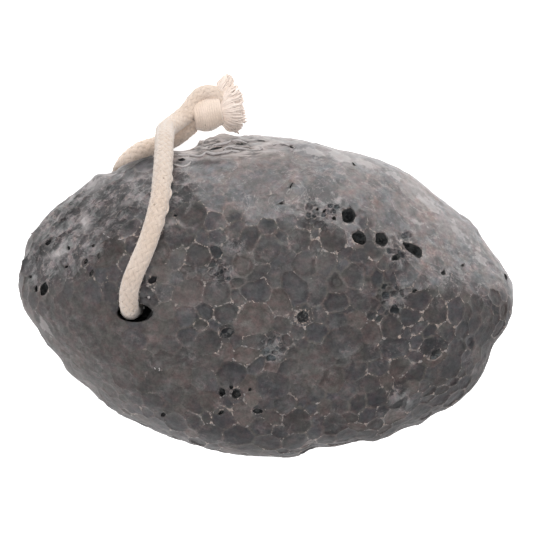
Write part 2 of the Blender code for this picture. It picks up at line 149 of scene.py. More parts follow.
# Pale patches with ragged edges, where the skin is thick, and painted sheen along the upper rim that faces
# the key lamp, given as the stains are
PALE_PATCHES_AND_SHEEN = (
    (2.0, 31.0, 1.3, 3.0, -5, 1.0), (9.5, 29.0, 1.7, 2.0, -16, 1.0), (15.0, 28.0, 1.8, 1.7, -18, 1.0),
    (20.0, 26.8, 1.6, 1.5, -25, 0.8), (26.0, 24.4, 1.6, 2.0, -38, 0.8), (33.0, 18.6, 2.2, 2.0, -40, 0.8),
    (39.0, 12.8, 2.4, 1.8, -48, 0.7), (43.5, 7.5, 1.8, 1.6, -55, 0.7), (31.0, 14.5, 1.6, 1.6, -20, 0.5),
    (-35.2, 22.3, 1.6, 1.6, 35, 0.9), (-42.0, 15.2, 1.0, 2.6, 50, 0.6), (-47.5, 8.0, 0.8, 2.4, 60, 0.9),
    (-44.4, -5.6, 2.0, 2.0, -62, 0.7), (-36.3, 15.1, 0.9, 1.8, 100, 1.0), (-41.7, 8.3, 0.9, 1.9, 25, 0.9),
    (6.0, 22.5, 1.6, 1.5, 60, 0.4), (-10.0, 23.5, 2.2, 1.6, 10, 0.4),
    (-12.0, 30.2, 1.5, 1.8, 30, 1.0), (-6.0, 30.6, 1.2, 2.6, 0, 1.0), (-15.5, 28.9, 0.7, 2.6, 4, 1.0),
)
# Folds of the rim's skin, and pale chips, both painted with highlights, seen from above as lines of x and y,
# each with its radius
FOLDS = (
    (0.26, ((-19.0, 28.5), (-17.4, 28.3), (-15.4, 28.3), (-13.8, 28.1), (-12.8, 28.3), (-12.1, 28.9),
            (-10.7, 28.6), (-8.9, 28.8), (-6.9, 29.1), (-5.1, 28.8), (-3.2, 28.5), (-2.0, 28.9),
            (-0.8, 29.7))),
    (0.14, ((1.0, 30.3), (2.4, 30.6), (3.6, 30.6), (4.7, 30.2), (5.9, 29.7))),
    (0.24, ((-11.9, 29.8), (-10.5, 30.3), (-9.1, 30.6), (-7.9, 30.9), (-6.5, 31.3), (-5.1, 31.2),
            (-3.8, 30.8))),
    (0.2, ((-8.6, 29.4), (-7.7, 30.0), (-6.3, 29.8), (-4.7, 29.6), (-3.0, 29.3))),
    (0.26, ((-23.6, -0.1), (-23.3, -0.25), (-23.1, -0.5))),
    (0.12, ((-32.6, 12.6), (-31.4, 11.7), (-29.7, 11.3), (-27.9, 11.2))),
    (0.16, ((-21.4, -14.2), (-21.2, -14.6), (-21.3, -15.0))),
    (0.15, ((-22.3, -14.0), (-22.1, -14.4), (-22.0, -14.7))),
    (0.18, ((-18.6, 26.5), (-17.6, 26.0), (-16.6, 25.9), (-15.7, 26.3), (-15.1, 27.0))),
)
FOLD_SUNK = 0.4  # share of a fold's radius that its middle lies under the surface
# Places crumbled into dark and pale patches: x, y and reach
CRUMBLED = (
    (-39.0, 13.0, 8.0), (-32.0, 18.0, 7.0), (-44.0, 6.5, 5.0), (-25.0, 20.5, 4.5), (-17.0, 21.5, 4.5),
    (-8.5, 4.2, 3.0), (11.5, 18.0, 4.6), (27.4, 8.6, 3.2), (26.0, -0.6, 3.0), (37.5, 3.5, 3.2),
    (1.5, -10.5, 2.6), (-6.0, 9.5, 2.0), (27.0, -20.0, 2.6), (-21.5, 14.0, 2.6),
)
# Milky smears, and painted highlights: glints and flecks of light off the clear skin, given as the stains are
SMEARS_AND_GLINTS = (
    (-36.0, 14.9, 1.6, 1.6, 100, 0.8), (-41.7, 8.3, 1.5, 1.8, 25, 0.75), (-40.3, 10.9, 0.6, 1.3, 60, 0.5),
    (-33.9, 22.3, 2.1, 1.4, 40, 0.4), (-27.6, 18.6, 1.0, 1.5, 20, 0.5), (-44.3, 10.8, 0.7, 1.5, 30, 0.4),
    (-30.2, 16.9, 0.7, 1.4, 110, 0.4), (42.2, -15.2, 0.8, 1.4, 40, 0.4), (-7.0, -31.4, 0.9, 2.4, -8, 0.25),
    (30.5, 21.5, 3.5, 1.6, -42, 0.4), (38.0, 14.0, 4.0, 1.5, -50, 0.22), (18.0, 27.0, 2.6, 2.2, -14, 0.35),
    (-15.6, 28.0, 0.4, 3.0, -3, 0.9), (-16.9, 25.6, 0.3, 2.2, 5, 0.8), (-23.9, 24.4, 1.5, 1.4, 20, 0.35),
    (-10.5, 28.1, 0.3, 3.4, 8, 0.8), (-26.4, 10.8, 0.6, 1.4, 120, 0.35),
)

BUBBLE_SEED = 11
BUBBLE_SIZES = ((2.6, 130), (2.2, 380), (1.8, 1200), (1.4, 5000), (1.05, 12000))
BUBBLE_PACKING = 0.9
WALLED_PIT = 0.7  # an open pit of a larger radius has its own wall
CRUMB_RADIUS = 0.5
CRUMB_TRIES = 110
PIT_SIDES = 24
THREE_CORNERED = 1.5  # pits drawn out more than this have three corners, others five
ANGULAR = 0.6  # from 0, round, to 1, with straight sides
WALL_STEPS = 3  # pieces that each wall between two corners is made in
CREST_WOBBLE = 0.16 / 30  # how far the walls stray, as a share of the form's size
HOLE_SIDES = 48
FOLD_SIDES = 10

# Drilled hole
HOLE_MIDDLE = (-26.6, -1.8)
WAIST_MIDDLE = (-26.8, -2.7)  # halfway down, where the drillings from both sides meet
MOUTH_MIDDLE = (-26.0, -3.35)
MOUTH_RADII = (3.6, 1.85)
# From below, a middle and the levels round it, as height and radius. None: as wide as the mouth is there
HOLE = (
    (HOLE_MIDDLE, ((-4.0, 4.6), (4.5, 4.4), (7.0, 3.9), (9.5, 3.9))),
    (WAIST_MIDDLE, ((11.0, 2.05), (17.0, 2.05))),
    (HOLE_MIDDLE, ((18.5, 3.9), (24.0, 3.9), (29.0, 3.8))),
    (MOUTH_MIDDLE, ((32.5, None), (34.4, None), (36.5, None), (37.7, None), (38.9, None), (60.0, None))),
)
# The groove that the cord has worn into the mouth's rim: height, and its middle from the mouth's middle
GROOVE = ((34.4, -1.0, 0.5), (36.5, -1.1, 0.95), (38.9, -1.2, 2.5), (60.0, -1.2, 2.6))
GROOVE_RADIUS = 2.12

# Cord, from the middle of the hole to the knot, as in the solids
FRONT_ROUTE = (
    (-26.8, -2.7, 21.0), (-26.8, -2.7, 25.0), (-26.9, -2.8, 30.0), (-27.0, -2.8, 34.4), (-27.1, -2.2, 37.5),
    (-27.2, -0.6, 40.0), (-26.9, 1.8, 41.7), (-25.9, 4.7, 42.3), (-24.5, 7.9, 42.2), (-23.2, 11.2, 41.5),
    (-22.0, 15.3, 39.9), (-21.1, 19.3, 37.5), (-20.8, 22.6, 34.7), (-20.6, 25.6, 31.5), (-20.5, 28.4, 27.6),
    (-20.5, 30.8, 23.2), (-20.5, 32.5, 18.2), (-20.5, 33.5, 12.9), (-20.2, 33.9, 9.9), (-19.3, 34.8, 7.6),
    (-17.6, 36.1, 5.9), (-16.2, 37.2, 5.2),
)
BACK_ROUTE = (
    (-26.8, -2.7, 20.7), (-26.8, -2.7, 17.0), (-26.8, -2.8, 13.0), (-26.9, -2.8, 9.7), (-27.0, -2.2, 6.8),
    (-27.2, -0.6, 4.3), (-27.5, 1.9, 2.7), (-28.0, 4.9, 2.1), (-28.8, 8.4, 2.1), (-29.6, 13.0, 2.1),
    (-30.2, 18.0, 2.1), (-30.4, 22.4, 2.1), (-29.1, 26.7, 2.1), (-26.0, 29.5, 2.1), (-22.2, 30.9, 2.1),
    (-18.6, 32.5, 2.1), (-15.5, 35.0, 2.1),
)
CORD_DIAMETER = 3.8
# Painted light and shade on the cotton at some heights, lighter low down by the knot and darker higher up: 1
# is palest, -1 is darkest
SHADE_HEIGHTS, HEIGHT_SHADES = (3.0, 10.0, 25.0, 34.0, 41.0), (0.45, -0.1, -0.5, -0.6, -0.25)
# Painted contact shadow where the back strand rubs on the stone: a line's start, the way off the stone, and
# how high it reaches
CONTACT_SHADE_START, CONTACT_SHADE_AWAY, CONTACT_SHADE_HEIGHT = (-31.2, 25.5), (-0.337, 0.94), 4.5
# Loose loops along the front strand's edge: distance from its knotted end, and how far each stands out
LOOSE_LOOPS = ((31.0, 0.05), (34.2, 0.2), (38.0, 0.3), (41.5, 0.25), (45.0, 0.1))
LOOP_REACH = 1.6  # half the length of a loose loop
CORE_SHARE = 0.86  # the braid's core, as a share of its radius
YARN_SHARE = 0.14  # half a yarn's thickness, as a share of the braid's radius
FUZZ_RADII = (0.035, 0.03, 0.015)
FUZZ_STEP = 0.5
CURVE_STEPS = 12  # steps between two points of a route, before they are spaced evenly

# Knot: the strands in it as routes, each with its radius
UPPER_LOOP = (
    (-17.3, 36.8, 5.3), (-16.0, 38.2, 5.3), (-14.8, 39.9, 5.0), (-13.4, 41.3, 4.7), (-11.7, 41.7, 4.5),
    (-10.1, 41.2, 4.2), (-9.0, 39.9, 3.8), (-9.1, 38.2, 3.2), (-10.4, 37.0, 2.8),
)
STRAND_END = (
    (-17.6, 36.2, 5.6), (-16.6, 37.0, 5.3), (-15.4, 37.8, 4.9), (-14.0, 38.5, 4.3), (-12.8, 38.8, 3.9),
)
LOWER_ENTRY = (
    (-17.0, 34.6, 2.1), (-15.2, 35.6, 2.3), (-13.6, 36.6, 3.0), (-12.0, 37.2, 3.6), (-10.4, 37.4, 4.0),
)
KNOT_STRANDS = ((STRAND_END, 1.85), (UPPER_LOOP, 1.5), (LOWER_ENTRY, 1.8))
# The band round the knot: for some x, the band's middle and its half height in y
BAND = ((-14.5, 36.9, 2.7), (-13.6, 37.0, 3.0), (-12.0, 37.1, 3.2), (-10.6, 37.5, 2.9), (-9.2, 37.9, 2.3))
BAND_YARNS = (-14.4, -13.95, -13.52, -13.1, -12.65, -12.2, -11.75, -11.3, -10.85, -10.4, -9.95, -9.5)
BAND_LEVEL = 4.15  # height of the band's middle
BAND_RISE = 2.45  # from there to the yarns' highest middle
BAND_SLANT = 0.45  # how far a yarn of the band leans along x, either way
TAILS = (  # root, then how the yarns fan: bend, middle tip, spread and number of yarns
    ((-10.4, 39.4, 4.2), (-9.3, 42.0, 4.3), (-7.6, 44.7, 4.0), 1.3, 120),
    ((-9.8, 38.9, 4.4), (-8.1, 40.8, 4.8), (-5.9, 42.3, 4.3), 1.4, 60),
    ((-9.6, 38.4, 4.6), (-7.7, 39.7, 5.0), (-5.0, 40.9, 4.4), 1.4, 60),
    ((-9.5, 37.8, 4.7), (-7.6, 38.2, 5.1), (-4.8, 38.9, 4.6), 1.3, 60),
    ((-9.5, 37.4, 4.5), (-7.6, 37.0, 4.8), (-4.3, 36.9, 4.1), 1.2, 55),
    ((-9.5, 37.0, 4.2), (-7.8, 36.1, 4.4), (-4.7, 35.2, 3.6), 1.1, 50),
    ((-9.6, 36.6, 3.9), (-8.3, 35.4, 3.9), (-5.7, 33.9, 3.0), 0.9, 45),
)

# Stage, in metres
TABLE_SIZE = 6.0
VIEW_MIDDLE = (0.0001, 0.00587)
SENSOR_WIDTH = 36.0  # in millimetres
LAMP_AIM = (0, 0, 0.02)
LAMPS = (  # name, place, size, power and colour
    ("key", (0.30, 0.95, 0.42), (0.8, 0.5), 6.4, (1.0, 0.985, 0.96)),
    ("overhead", (-0.1, -0.15, 1.5), (0.9, 0.9), 12.2, (1.0, 0.99, 0.985)),
    ("fill", (-1.1, -0.35, 0.6), (0.6, 0.6), 1.4, (0.98, 0.98, 1.0)),
)
ROOM_COLOR = (0.97, 0.97, 1.0, 1)
ROOM_LIGHT = 0.4


def section(text):
    """A named collection of the scene, made at need."""
    found = bpy.data.collections.get(text)
    if found is None:
        found = bpy.data.collections.new(text)
        bpy.context.scene.collection.children.link(found)
    return found


# ---------------------------------------------------------------- shader wiring

BUMP_STRENGTH = 0.7
SEED_SPECK = (0.16, 0.11, 0.07)  # colour of the bits of seed husk in the cotton


class Wiring:
    """A short way of adding and joining the nodes of one tree."""

    def __init__(self, tree):
        self.tree = tree
        self.places = self.node("ShaderNodeTexCoord").outputs

    def node(self, kind, inputs=(), **settings):
        made = self.tree.nodes.new(kind)
        for name, value in settings.items():
            setattr(made, name, value)
        for key, value in dict(inputs).items():
            self.feed(value, made.inputs[key])
        return made

    def feed(self, value, socket):
        """Joins a socket to another, or sets its own value. Colours are given without an alpha."""
        if isinstance(value, bpy.types.NodeSocket):
            self.tree.links.new(value, socket)
        else:
            socket.default_value = (*value, 1) if socket.type == "RGBA" else value

    def math(self, operation, *values, clamp=False):
        made = self.node("ShaderNodeMath", dict(enumerate(values)), operation=operation, use_clamp=clamp)
        return made.outputs[0]

    def times(self, first, *others):
        for value in others:
            first = self.math("MULTIPLY", first, value)
        return first

    def largest(self, first, *others):
        for value in others:
            first = self.math("MAXIMUM", first, value)
        return first

    def away(self, value, middle):
        """How far a value lies from a middle one, either way."""
        return self.math("ABSOLUTE", self.math("SUBTRACT", value, middle))

    def noise(self, scale, detail=3.0, roughness=0.5, distortion=0.0, vector=None):
        """A noise value over the object's own coordinates, unless a vector is given."""
        vector = self.places["Object"] if vector is None else vector
        made = self.node("ShaderNodeTexNoise", {"Scale": scale, "Detail": detail, "Roughness": roughness,
                                                "Distortion": distortion, "Vector": vector})
        return made.outputs["Fac"]

    def spread(self, value, low, high, start=0.0, end=1.0, smooth=False):
        """The value, carried from low..high over to start..end."""
        made = self.node("ShaderNodeMapRange", {"Value": value, "From Min": low, "From Max": high,
                                                "To Min": start, "To Max": end}, clamp=True,
                         interpolation_type="SMOOTHSTEP" if smooth else "LINEAR")
        return made.outputs["Result"]

    def blend(self, factor, first, second, kind="MIX"):
        made = self.node("ShaderNodeMix", {"Factor": factor}, data_type="RGBA", blend_type=kind)
        self.feed(first, made.inputs[6])
        self.feed(second, made.inputs[7])
        return made.outputs[2]

    def tinted(self, color, share, tint):
        """A colour multiplied by a tint, where the share says so."""
        return self.blend(share, color, tint, "MULTIPLY")

    def scaled(self, color, factor):
        """A colour made lighter or darker by a factor."""
        return self.node("ShaderNodeVectorMath", {0: color, "Scale": factor}, operation="SCALE").outputs[0]

    def cells(self, scale, vector, **settings):
        """Cells of irregular size, by their outputs."""
        return self.node("ShaderNodeTexVoronoi", {"Vector": vector, "Scale": scale}, **settings).outputs

    def parts(self, color):
        """The red, green and blue of a colour."""
        return self.node("ShaderNodeSeparateColor", {"Color": color}).outputs

    def attribute(self, name):
        return self.node("ShaderNodeAttribute", attribute_name=name).outputs["Fac"]

    def effect(self, name, **inputs):
        """Places one of the shared effects, and gives its outputs."""
        made = self.node("ShaderNodeGroup", node_tree=effect_group(name))
        for key, value in inputs.items():
            self.feed(value, made.inputs[key.capitalize()])
        return made.outputs

    def dress(self, shader, color, roughness, height, depth, plain):
        """Gives a shader its colour, its roughness, its relief and its plain values."""
        self.feed(color, shader.inputs["Base Color"])
        self.feed(roughness, shader.inputs["Roughness"])
        bump = self.node("ShaderNodeBump", {"Strength": BUMP_STRENGTH, "Distance": depth, "Height": height})
        self.feed(bump.outputs["Normal"], shader.inputs["Normal"])
        for name, value in plain.items():
            shader.inputs[name].default_value = value


def fill_grain(wire, given, out):
    """Fine grain: a value about 1 to multiply a colour by, and a height."""
    fine = wire.noise(given["Scale"], 4.0, 0.6)
    swing = wire.times(wire.math("SUBTRACT", fine, 0.5), 2.0)
    wire.feed(wire.math("MULTIPLY_ADD", swing, given["Strength"], 1.0), out["Value"])
    wire.feed(fine, out["Height"])


def fill_specks(wire, given, out):
    """Scattered specks: a mask that is 1 on small spots and 0 between them."""
    spots = wire.cells(given["Scale"], wire.places["Object"])
    size = wire.times(given["Amount"], wire.noise(given["Scale"], 1.0))
    wire.feed(wire.math("LESS_THAN", spots["Distance"], size), out["Mask"])


def fill_froth(wire, given, out):
    """Fine froth: broken walls, and painted shade in the hollows of some of its bubbles."""
    place = wire.places["Object"]
    stir = wire.node("ShaderNodeTexNoise", {"Vector": place, "Scale": 520.0, "Detail": 3.0}).outputs["Color"]
    stir = wire.node("ShaderNodeVectorMath", {0: stir, 1: (0.5, 0.5, 0.5)}, operation="SUBTRACT").outputs[0]
    stir = wire.scaled(stir, 0.0024)
    place = wire.node("ShaderNodeVectorMath", {0: stir, 1: place}, operation="ADD").outputs[0]
    near = wire.cells(given["Scale"], place, feature="DISTANCE_TO_EDGE")
    own = wire.parts(wire.cells(given["Scale"], place)["Color"])
    wall = wire.math("DIVIDE", near["Distance"], given["Width"])
    gaps = wire.spread(wire.noise(520.0, 3.0, 0.6, vector=place), 0.5, 0.56)
    wire.feed(wire.times(wire.math("SUBTRACT", 1.0, wall, clamp=True), gaps), out["Wall"])
    hollow_shade = wire.spread(wall, 1.0, 3.0, smooth=True)
    wire.feed(wire.times(hollow_shade, wire.spread(own["Red"], 0.32, 0.28)), out["HollowShade"])
    wire.feed(own["Green"], out["Tone"])


# Shared effects: inputs with their defaults, outputs, and what fills the group
EFFECTS = {
    "fine_grain": ({"Scale": 2000.0, "Strength": 0.2}, ("Value", "Height"), fill_grain),
    "specks": ({"Scale": 900.0, "Amount": 0.3}, ("Mask",), fill_specks),
    "fine_froth": ({"Scale": 600.0, "Width": 0.06}, ("Wall", "HollowShade", "Tone"), fill_froth),
}


def effect_group(name):
    """The shader group of a shared effect, built once."""
    tree = bpy.data.node_groups.get(name)
    if tree is None:
        inputs, outputs, fill = EFFECTS[name]
        tree = bpy.data.node_groups.new(name, "ShaderNodeTree")
        for text, value in inputs.items():
            socket = tree.interface.new_socket(text, in_out="INPUT", socket_type="NodeSocketFloat")
            socket.default_value = value
        for text in outputs:
            tree.interface.new_socket(text, in_out="OUTPUT", socket_type="NodeSocketFloat")
        wire = Wiring(tree)
        fill(wire, wire.node("NodeGroupInput").outputs, wire.node("NodeGroupOutput").inputs)
    return tree


def new_material(name):
    made = bpy.data.materials.new(name)
    made.use_nodes = True
    return made, Wiring(made.node_tree), made.node_tree.nodes["Principled BSDF"]


class LavaFinish:
    """The stone's finish: burst bubbles with dull floors and pale crumbling walls, under a clear skin.

    Most methods lay one more layer over the colour they are given.
    """

    def __init__(self, look):
        self.look = look
        self.material, self.wire, self.shader = new_material("pumice_lava")
        wire = self.wire
        self.values = {name: wire.attribute(name) for name in (*PLAIN_VALUES, "tone", "hue")}
        self.grain = wire.effect("fine_grain", scale=2300.0, strength=0.4)
        self.froth = wire.effect("fine_froth", scale=560.0, width=0.10)
        self.broad = wire.noise(120.0, 3.0, 0.6)
        self.cloud = wire.noise(300.0, 4.0, 0.65)
        self.smudge = wire.noise(750.0, 4.0, 0.7)
        self.patches = wire.noise(270.0, 6.0, 0.72, 0.5)
        self.rag = wire.math("SUBTRACT", wire.noise(1000.0, 3.0, 0.65), 0.5)
        self.edge = wire.math("MULTIPLY_ADD", self.rag, 0.8, self.values["edge"])
        chip = wire.cells(2300.0, wire.places["Object"])
        self.chip = wire.parts(chip["Color"])
        self.inside = self.inside_share()
        self.frothy = self.froth_share()
        self.crumbs = self.wall_crumbs()
        # The upper flanks get the paler flank colours: the skin's milky veil and painted sheen
        color = wire.blend(self.values["skin_and_sheen"], self.floors(), self.flanks())
        for layer in (self.rubble, self.shades, self.walls, self.milk, self.folds, self.stains_and_painted_shade):
            color = layer(color)
        self.surface(color)

    def inside_share(self):
        """0 at a bubble's wall and 1 on its floor, and higher where bubbles run together."""
        wire = self.wire
        inside = wire.spread(wire.math("ADD", self.values["edge"], self.rag), 0.02, 0.6, smooth=True)
        merged = wire.spread(wire.noise(190.0, 4.0, 0.65), 0.45, 0.56, 0.0, 0.85)
        return wire.largest(inside, wire.times(merged, wire.spread(self.values["skin_and_sheen"], 0.0, 0.5, 1.0, 0.0)))

    def froth_share(self):
        """How much fine froth shows: much where the stone is crumbled, little in places on the flanks."""
        wire = self.wire
        places = wire.spread(wire.noise(100.0, 4.0, 0.6), 0.48, 0.58, 0.0, 0.6)
        crumbled = wire.times(self.values["crumbled"], wire.spread(self.patches, 0.42, 0.5, 0.25, 1.0))
        return wire.largest(wire.times(self.values["skin_and_sheen"], places), crumbled)

    def wall_crumbs(self):
        """Pale crumbs, crowded where three bubbles meet and along the border of the skin."""
        wire = self.wire
        reach = wire.math("MULTIPLY_ADD", self.values["corner"], 0.62, 0.1)
        nearness = wire.math("SUBTRACT", 1.0, wire.math("DIVIDE", self.edge, reach), clamp=True)
        patch = wire.spread(wire.noise(150.0, 4.0, 0.7), 0.49, 0.59, 0.0, 1.05)
        border = wire.spread(wire.away(self.values["skin_and_sheen"], 0.4), 0.1, 0.35, 0.85, 0.0)
        crowd = wire.math("SUBTRACT", wire.times(nearness, wire.largest(patch, border)), self.chip["Red"])
        size = wire.math("MULTIPLY_ADD", self.chip["Green"], 0.7, 0.3)
        return wire.times(wire.spread(crowd, 0.0, 0.14, smooth=True), size)

    def floors(self):
        """Each bubble has its own tone and hue, and runs into a browner ground towards its walls."""
        wire, look, hue = self.wire, self.look, self.values["hue"]
        stray = wire.math("ADD", hue, wire.spread(self.cloud, 0.35, 0.65, -0.5, 0.5), clamp=True)
        cell = wire.blend(stray, look.cool_floor, look.warm_floor)
        cell = wire.blend(wire.spread(hue, 0.8, 0.86, 0.0, 0.75), cell, look.rose_floor)
        cell = wire.scaled(cell, wire.math("MULTIPLY_ADD", self.values["tone"], 0.5, 0.62))
        ground = wire.blend(wire.spread(self.cloud, 0.35, 0.65, 0.0, 0.25), look.ground, look.cool_floor)
        share = wire.times(self.inside, wire.spread(self.values["rubbed"], 0.0, 1.0, 1.0, 0.35))
        return wire.blend(share, ground, cell)

    def flanks(self):
        """Blotches of pale brown and blue grey, painted paler as sheen off the clear skin, with darker round
        bubbles in them.
        """
        wire, look = self.wire, self.look
        blotch = wire.math("MULTIPLY_ADD", self.cloud, 0.6, wire.times(self.broad, 0.4))
        flank = wire.blend(wire.spread(blotch, 0.43, 0.57), look.flank_warm, look.flank_cool)
        dim = wire.times(self.inside, wire.spread(self.values["tone"], 0.32, 0.12, 0.0, 0.85))
        flank = wire.blend(dim, flank, look.flank_deep)
        large = wire.spread(wire.noise(150.0, 6.0, 0.64, 0.6), 0.485, 0.515, 0.86, 1.08)
        small = wire.spread(wire.noise(370.0, 6.0, 0.66, 0.4), 0.47, 0.52, 0.9, 1.08)
        flank = wire.scaled(flank, wire.times(large, small))
        shifts = wire.noise(115.0, 6.0, 0.62, 0.5)
        flank = wire.tinted(flank, wire.spread(shifts, 0.48, 0.455), (0.88, 0.93, 0.97))
        return wire.tinted(flank, wire.spread(shifts, 0.53, 0.555), (1.08, 0.985, 0.935))

    def rubble(self, color):
        """Crumbled places: ragged dark and pale patches, and a froth of fine bubbles over them."""
        wire, look = self.wire, self.look
        rubble = wire.blend(wire.spread(self.patches, 0.47, 0.56), look.rubble_dark, look.rubble_pale)
        color = wire.blend(wire.times(self.values["crumbled"], 0.9), color, rubble)
        hollow_shade, tone = (wire.times(self.froth[name], self.frothy) for name in ("HollowShade", "Tone"))
        # Painted shade in the froth's hollows
        color = wire.scaled(color, wire.math("MULTIPLY_ADD", hollow_shade, -0.5, 1.0))
        return wire.scaled(color, wire.spread(tone, 0.0, 1.0, 0.95, 1.25))

    def shades(self, color):
        """Faint pink and green hues that come and go, and lighter and darker shades of three sizes."""
        wire = self.wire
        tint = wire.noise(520.0, 4.0, 0.7)
        color = wire.tinted(color, wire.spread(tint, 0.5, 0.62), (1.10, 0.955, 0.97))
        color = wire.tinted(color, wire.spread(tint, 0.5, 0.38), (0.93, 1.015, 0.985))
        shade = self.grain["Value"]
        for pattern, swing in ((self.broad, 0.16), (self.cloud, 0.15), (self.smudge, 0.34)):
            shade = wire.times(shade, wire.spread(pattern, 0.3, 0.7, 1 - swing, 1 + swing))
        return wire.scaled(color, shade)

    def walls(self, color):
        """The walls as a broken line with crumbs, strewn specks, and the pale lips of the open pits."""
        wire, look, values = self.wire, self.look, self.values
        line = wire.times(
            wire.spread(self.edge, 0.0, 0.13, 1.0, 0.0, smooth=True),
            wire.spread(wire.noise(420.0, 3.0, 0.6), 0.46, 0.62, 0.0, 0.36),
            wire.spread(wire.noise(90.0, 2.0), 0.47, 0.6),
            wire.spread(values["skin_and_sheen"], 0.2, 0.8, 1.0, 0.0),
        )
        strewn = wire.effect("specks", scale=900.0, amount=0.5)["Mask"]
        strewn = wire.times(strewn, values["crumbled"], 0.75, wire.spread(self.smudge, 0.5, 0.6))
        wall = wire.times(
            wire.largest(line, self.crumbs, strewn),
            wire.spread(values["skin_and_sheen"], 0.3, 1.0, 1.0, 0.3),
            wire.spread(values["rubbed"], 0.0, 0.8, 1.0, 0.08),
            wire.spread(values["crumbled"], 0.0, 0.8, 1.0, 0.45),
        )
        film = wire.times(self.froth["Wall"], self.frothy, 0.5)
        lip = wire.spread(values["lip"], 0.4, 0.85)
        lip = wire.times(lip, wire.spread(self.smudge, 0.47, 0.56, 0.0, 0.7))
        paint = wire.blend(self.chip["Blue"], look.wall_grey, look.wall_warm)
        return wire.blend(wire.largest(film, wall, lip), color, paint)

    def milk(self, color):
        """Ragged pale patches and painted sheen, fine creases in the skin, and milky smears with painted
        glints.
        """
        wire = self.wire
        torn = wire.math("MULTIPLY_ADD", wire.noise(380.0, 6.0, 0.7, 0.3), 1.6, -0.8)
        pale_and_sheen = wire.spread(wire.math("ADD", self.values["pale_and_sheen"], torn), 0.42, 0.52, 0.0, 0.4)
        crease = wire.spread(wire.away(wire.noise(110.0, 5.0, 0.7, 1.0), 0.5), 0.0, 0.012, 0.5, 0.0)
        crease = wire.times(crease, wire.spread(self.smudge, 0.4, 0.55), self.values["skin_and_sheen"])
        smears_and_glints = wire.times(self.values["smear_and_glint"], wire.spread(self.smudge, 0.3, 0.6, 0.6, 1.0))
        color = wire.blend(pale_and_sheen, color, self.look.milk_and_highlight)
        return wire.blend(wire.largest(crease, smears_and_glints), color, self.look.milk_and_highlight)

    def folds(self, color):
        """Thin pale folds along the pleated rim, with painted highlights on their crests and painted shade in
        the splits between them.
        """
        wire, pleated = self.wire, self.values["pleated"]
        drawn = wire.node("ShaderNodeMapping", {"Vector": wire.places["Object"], "Scale": (1.0, 5.5, 3.0),
                                                "Rotation": (0, 0, 0.1)}).outputs[0]
        fold = wire.noise(140.0, 3.0, 0.6, 0.8, drawn)
        split_shade = wire.times(
            wire.spread(wire.away(fold, 0.44), 0.02, 0.07, 1.0, 0.0),
            wire.spread(wire.noise(210.0, 2.0), 0.44, 0.54),
            pleated,
        )
        crest_highlights = wire.times(wire.spread(fold, 0.52, 0.6, 0.0, 0.8), pleated)
        color = wire.blend(wire.times(pleated, 0.25), color, self.look.wall_warm)
        color = wire.blend(crest_highlights, color, self.look.milk_and_highlight)
        return wire.scaled(color, wire.spread(split_shade, 0.0, 1.0, 1.0, 0.28))

    def stains_and_painted_shade(self, color):
        """Dark stains and painted shade, and the painted shade of the pits."""
        wire, pit_shade = self.wire, self.values["pit_shade"]
        # Stains, and painted shade: contact shadow, shade under the folds, the darker lower right side
        stain_and_shade = wire.times(self.values["stain_and_shade"], wire.spread(self.smudge, 0.3, 0.7, 0.7, 1.1))
        color = wire.scaled(color, wire.math("SUBTRACT", 1.0, stain_and_shade, clamp=True))
        # Painted shade: darkens the pits and the hole, and tints them cool
        color = wire.scaled(color, wire.spread(pit_shade, 0.0, 1.0, 1.0, 0.54))
        return wire.tinted(color, wire.spread(pit_shade, 0.1, 0.6), (0.84, 1.0, 1.06))

    def surface(self, color):
        """Feeds the shader, with the skin as its coat."""
        wire, skin_and_sheen = self.wire, self.values["skin_and_sheen"]
        height = wire.math("MULTIPLY_ADD", self.grain["Height"], 0.5, wire.times(self.smudge, 1.4))
        height = wire.math("MULTIPLY_ADD", self.crumbs, 0.8, height)
        wire.dress(self.shader, color, wire.spread(skin_and_sheen, 0.0, 1.0, 0.9, 0.65), height, 0.0002, {
            "Coat Roughness": 0.38, "Specular IOR Level": 0.2, "Sheen Weight": 0.1, "Sheen Roughness": 0.5})
        coat = wire.times(
            wire.spread(self.values["pit_shade"], 0.0, 0.6, 1.0, 0.0),
            wire.spread(skin_and_sheen, 0.0, 1.0, 0.45, 1.0),
            wire.spread(self.values["stain_and_shade"], 0.1, 0.4, 1.0, 0.0),
            self.look.skin_gloss,
        )
        wire.feed(coat, self.shader.inputs["Coat Weight"])


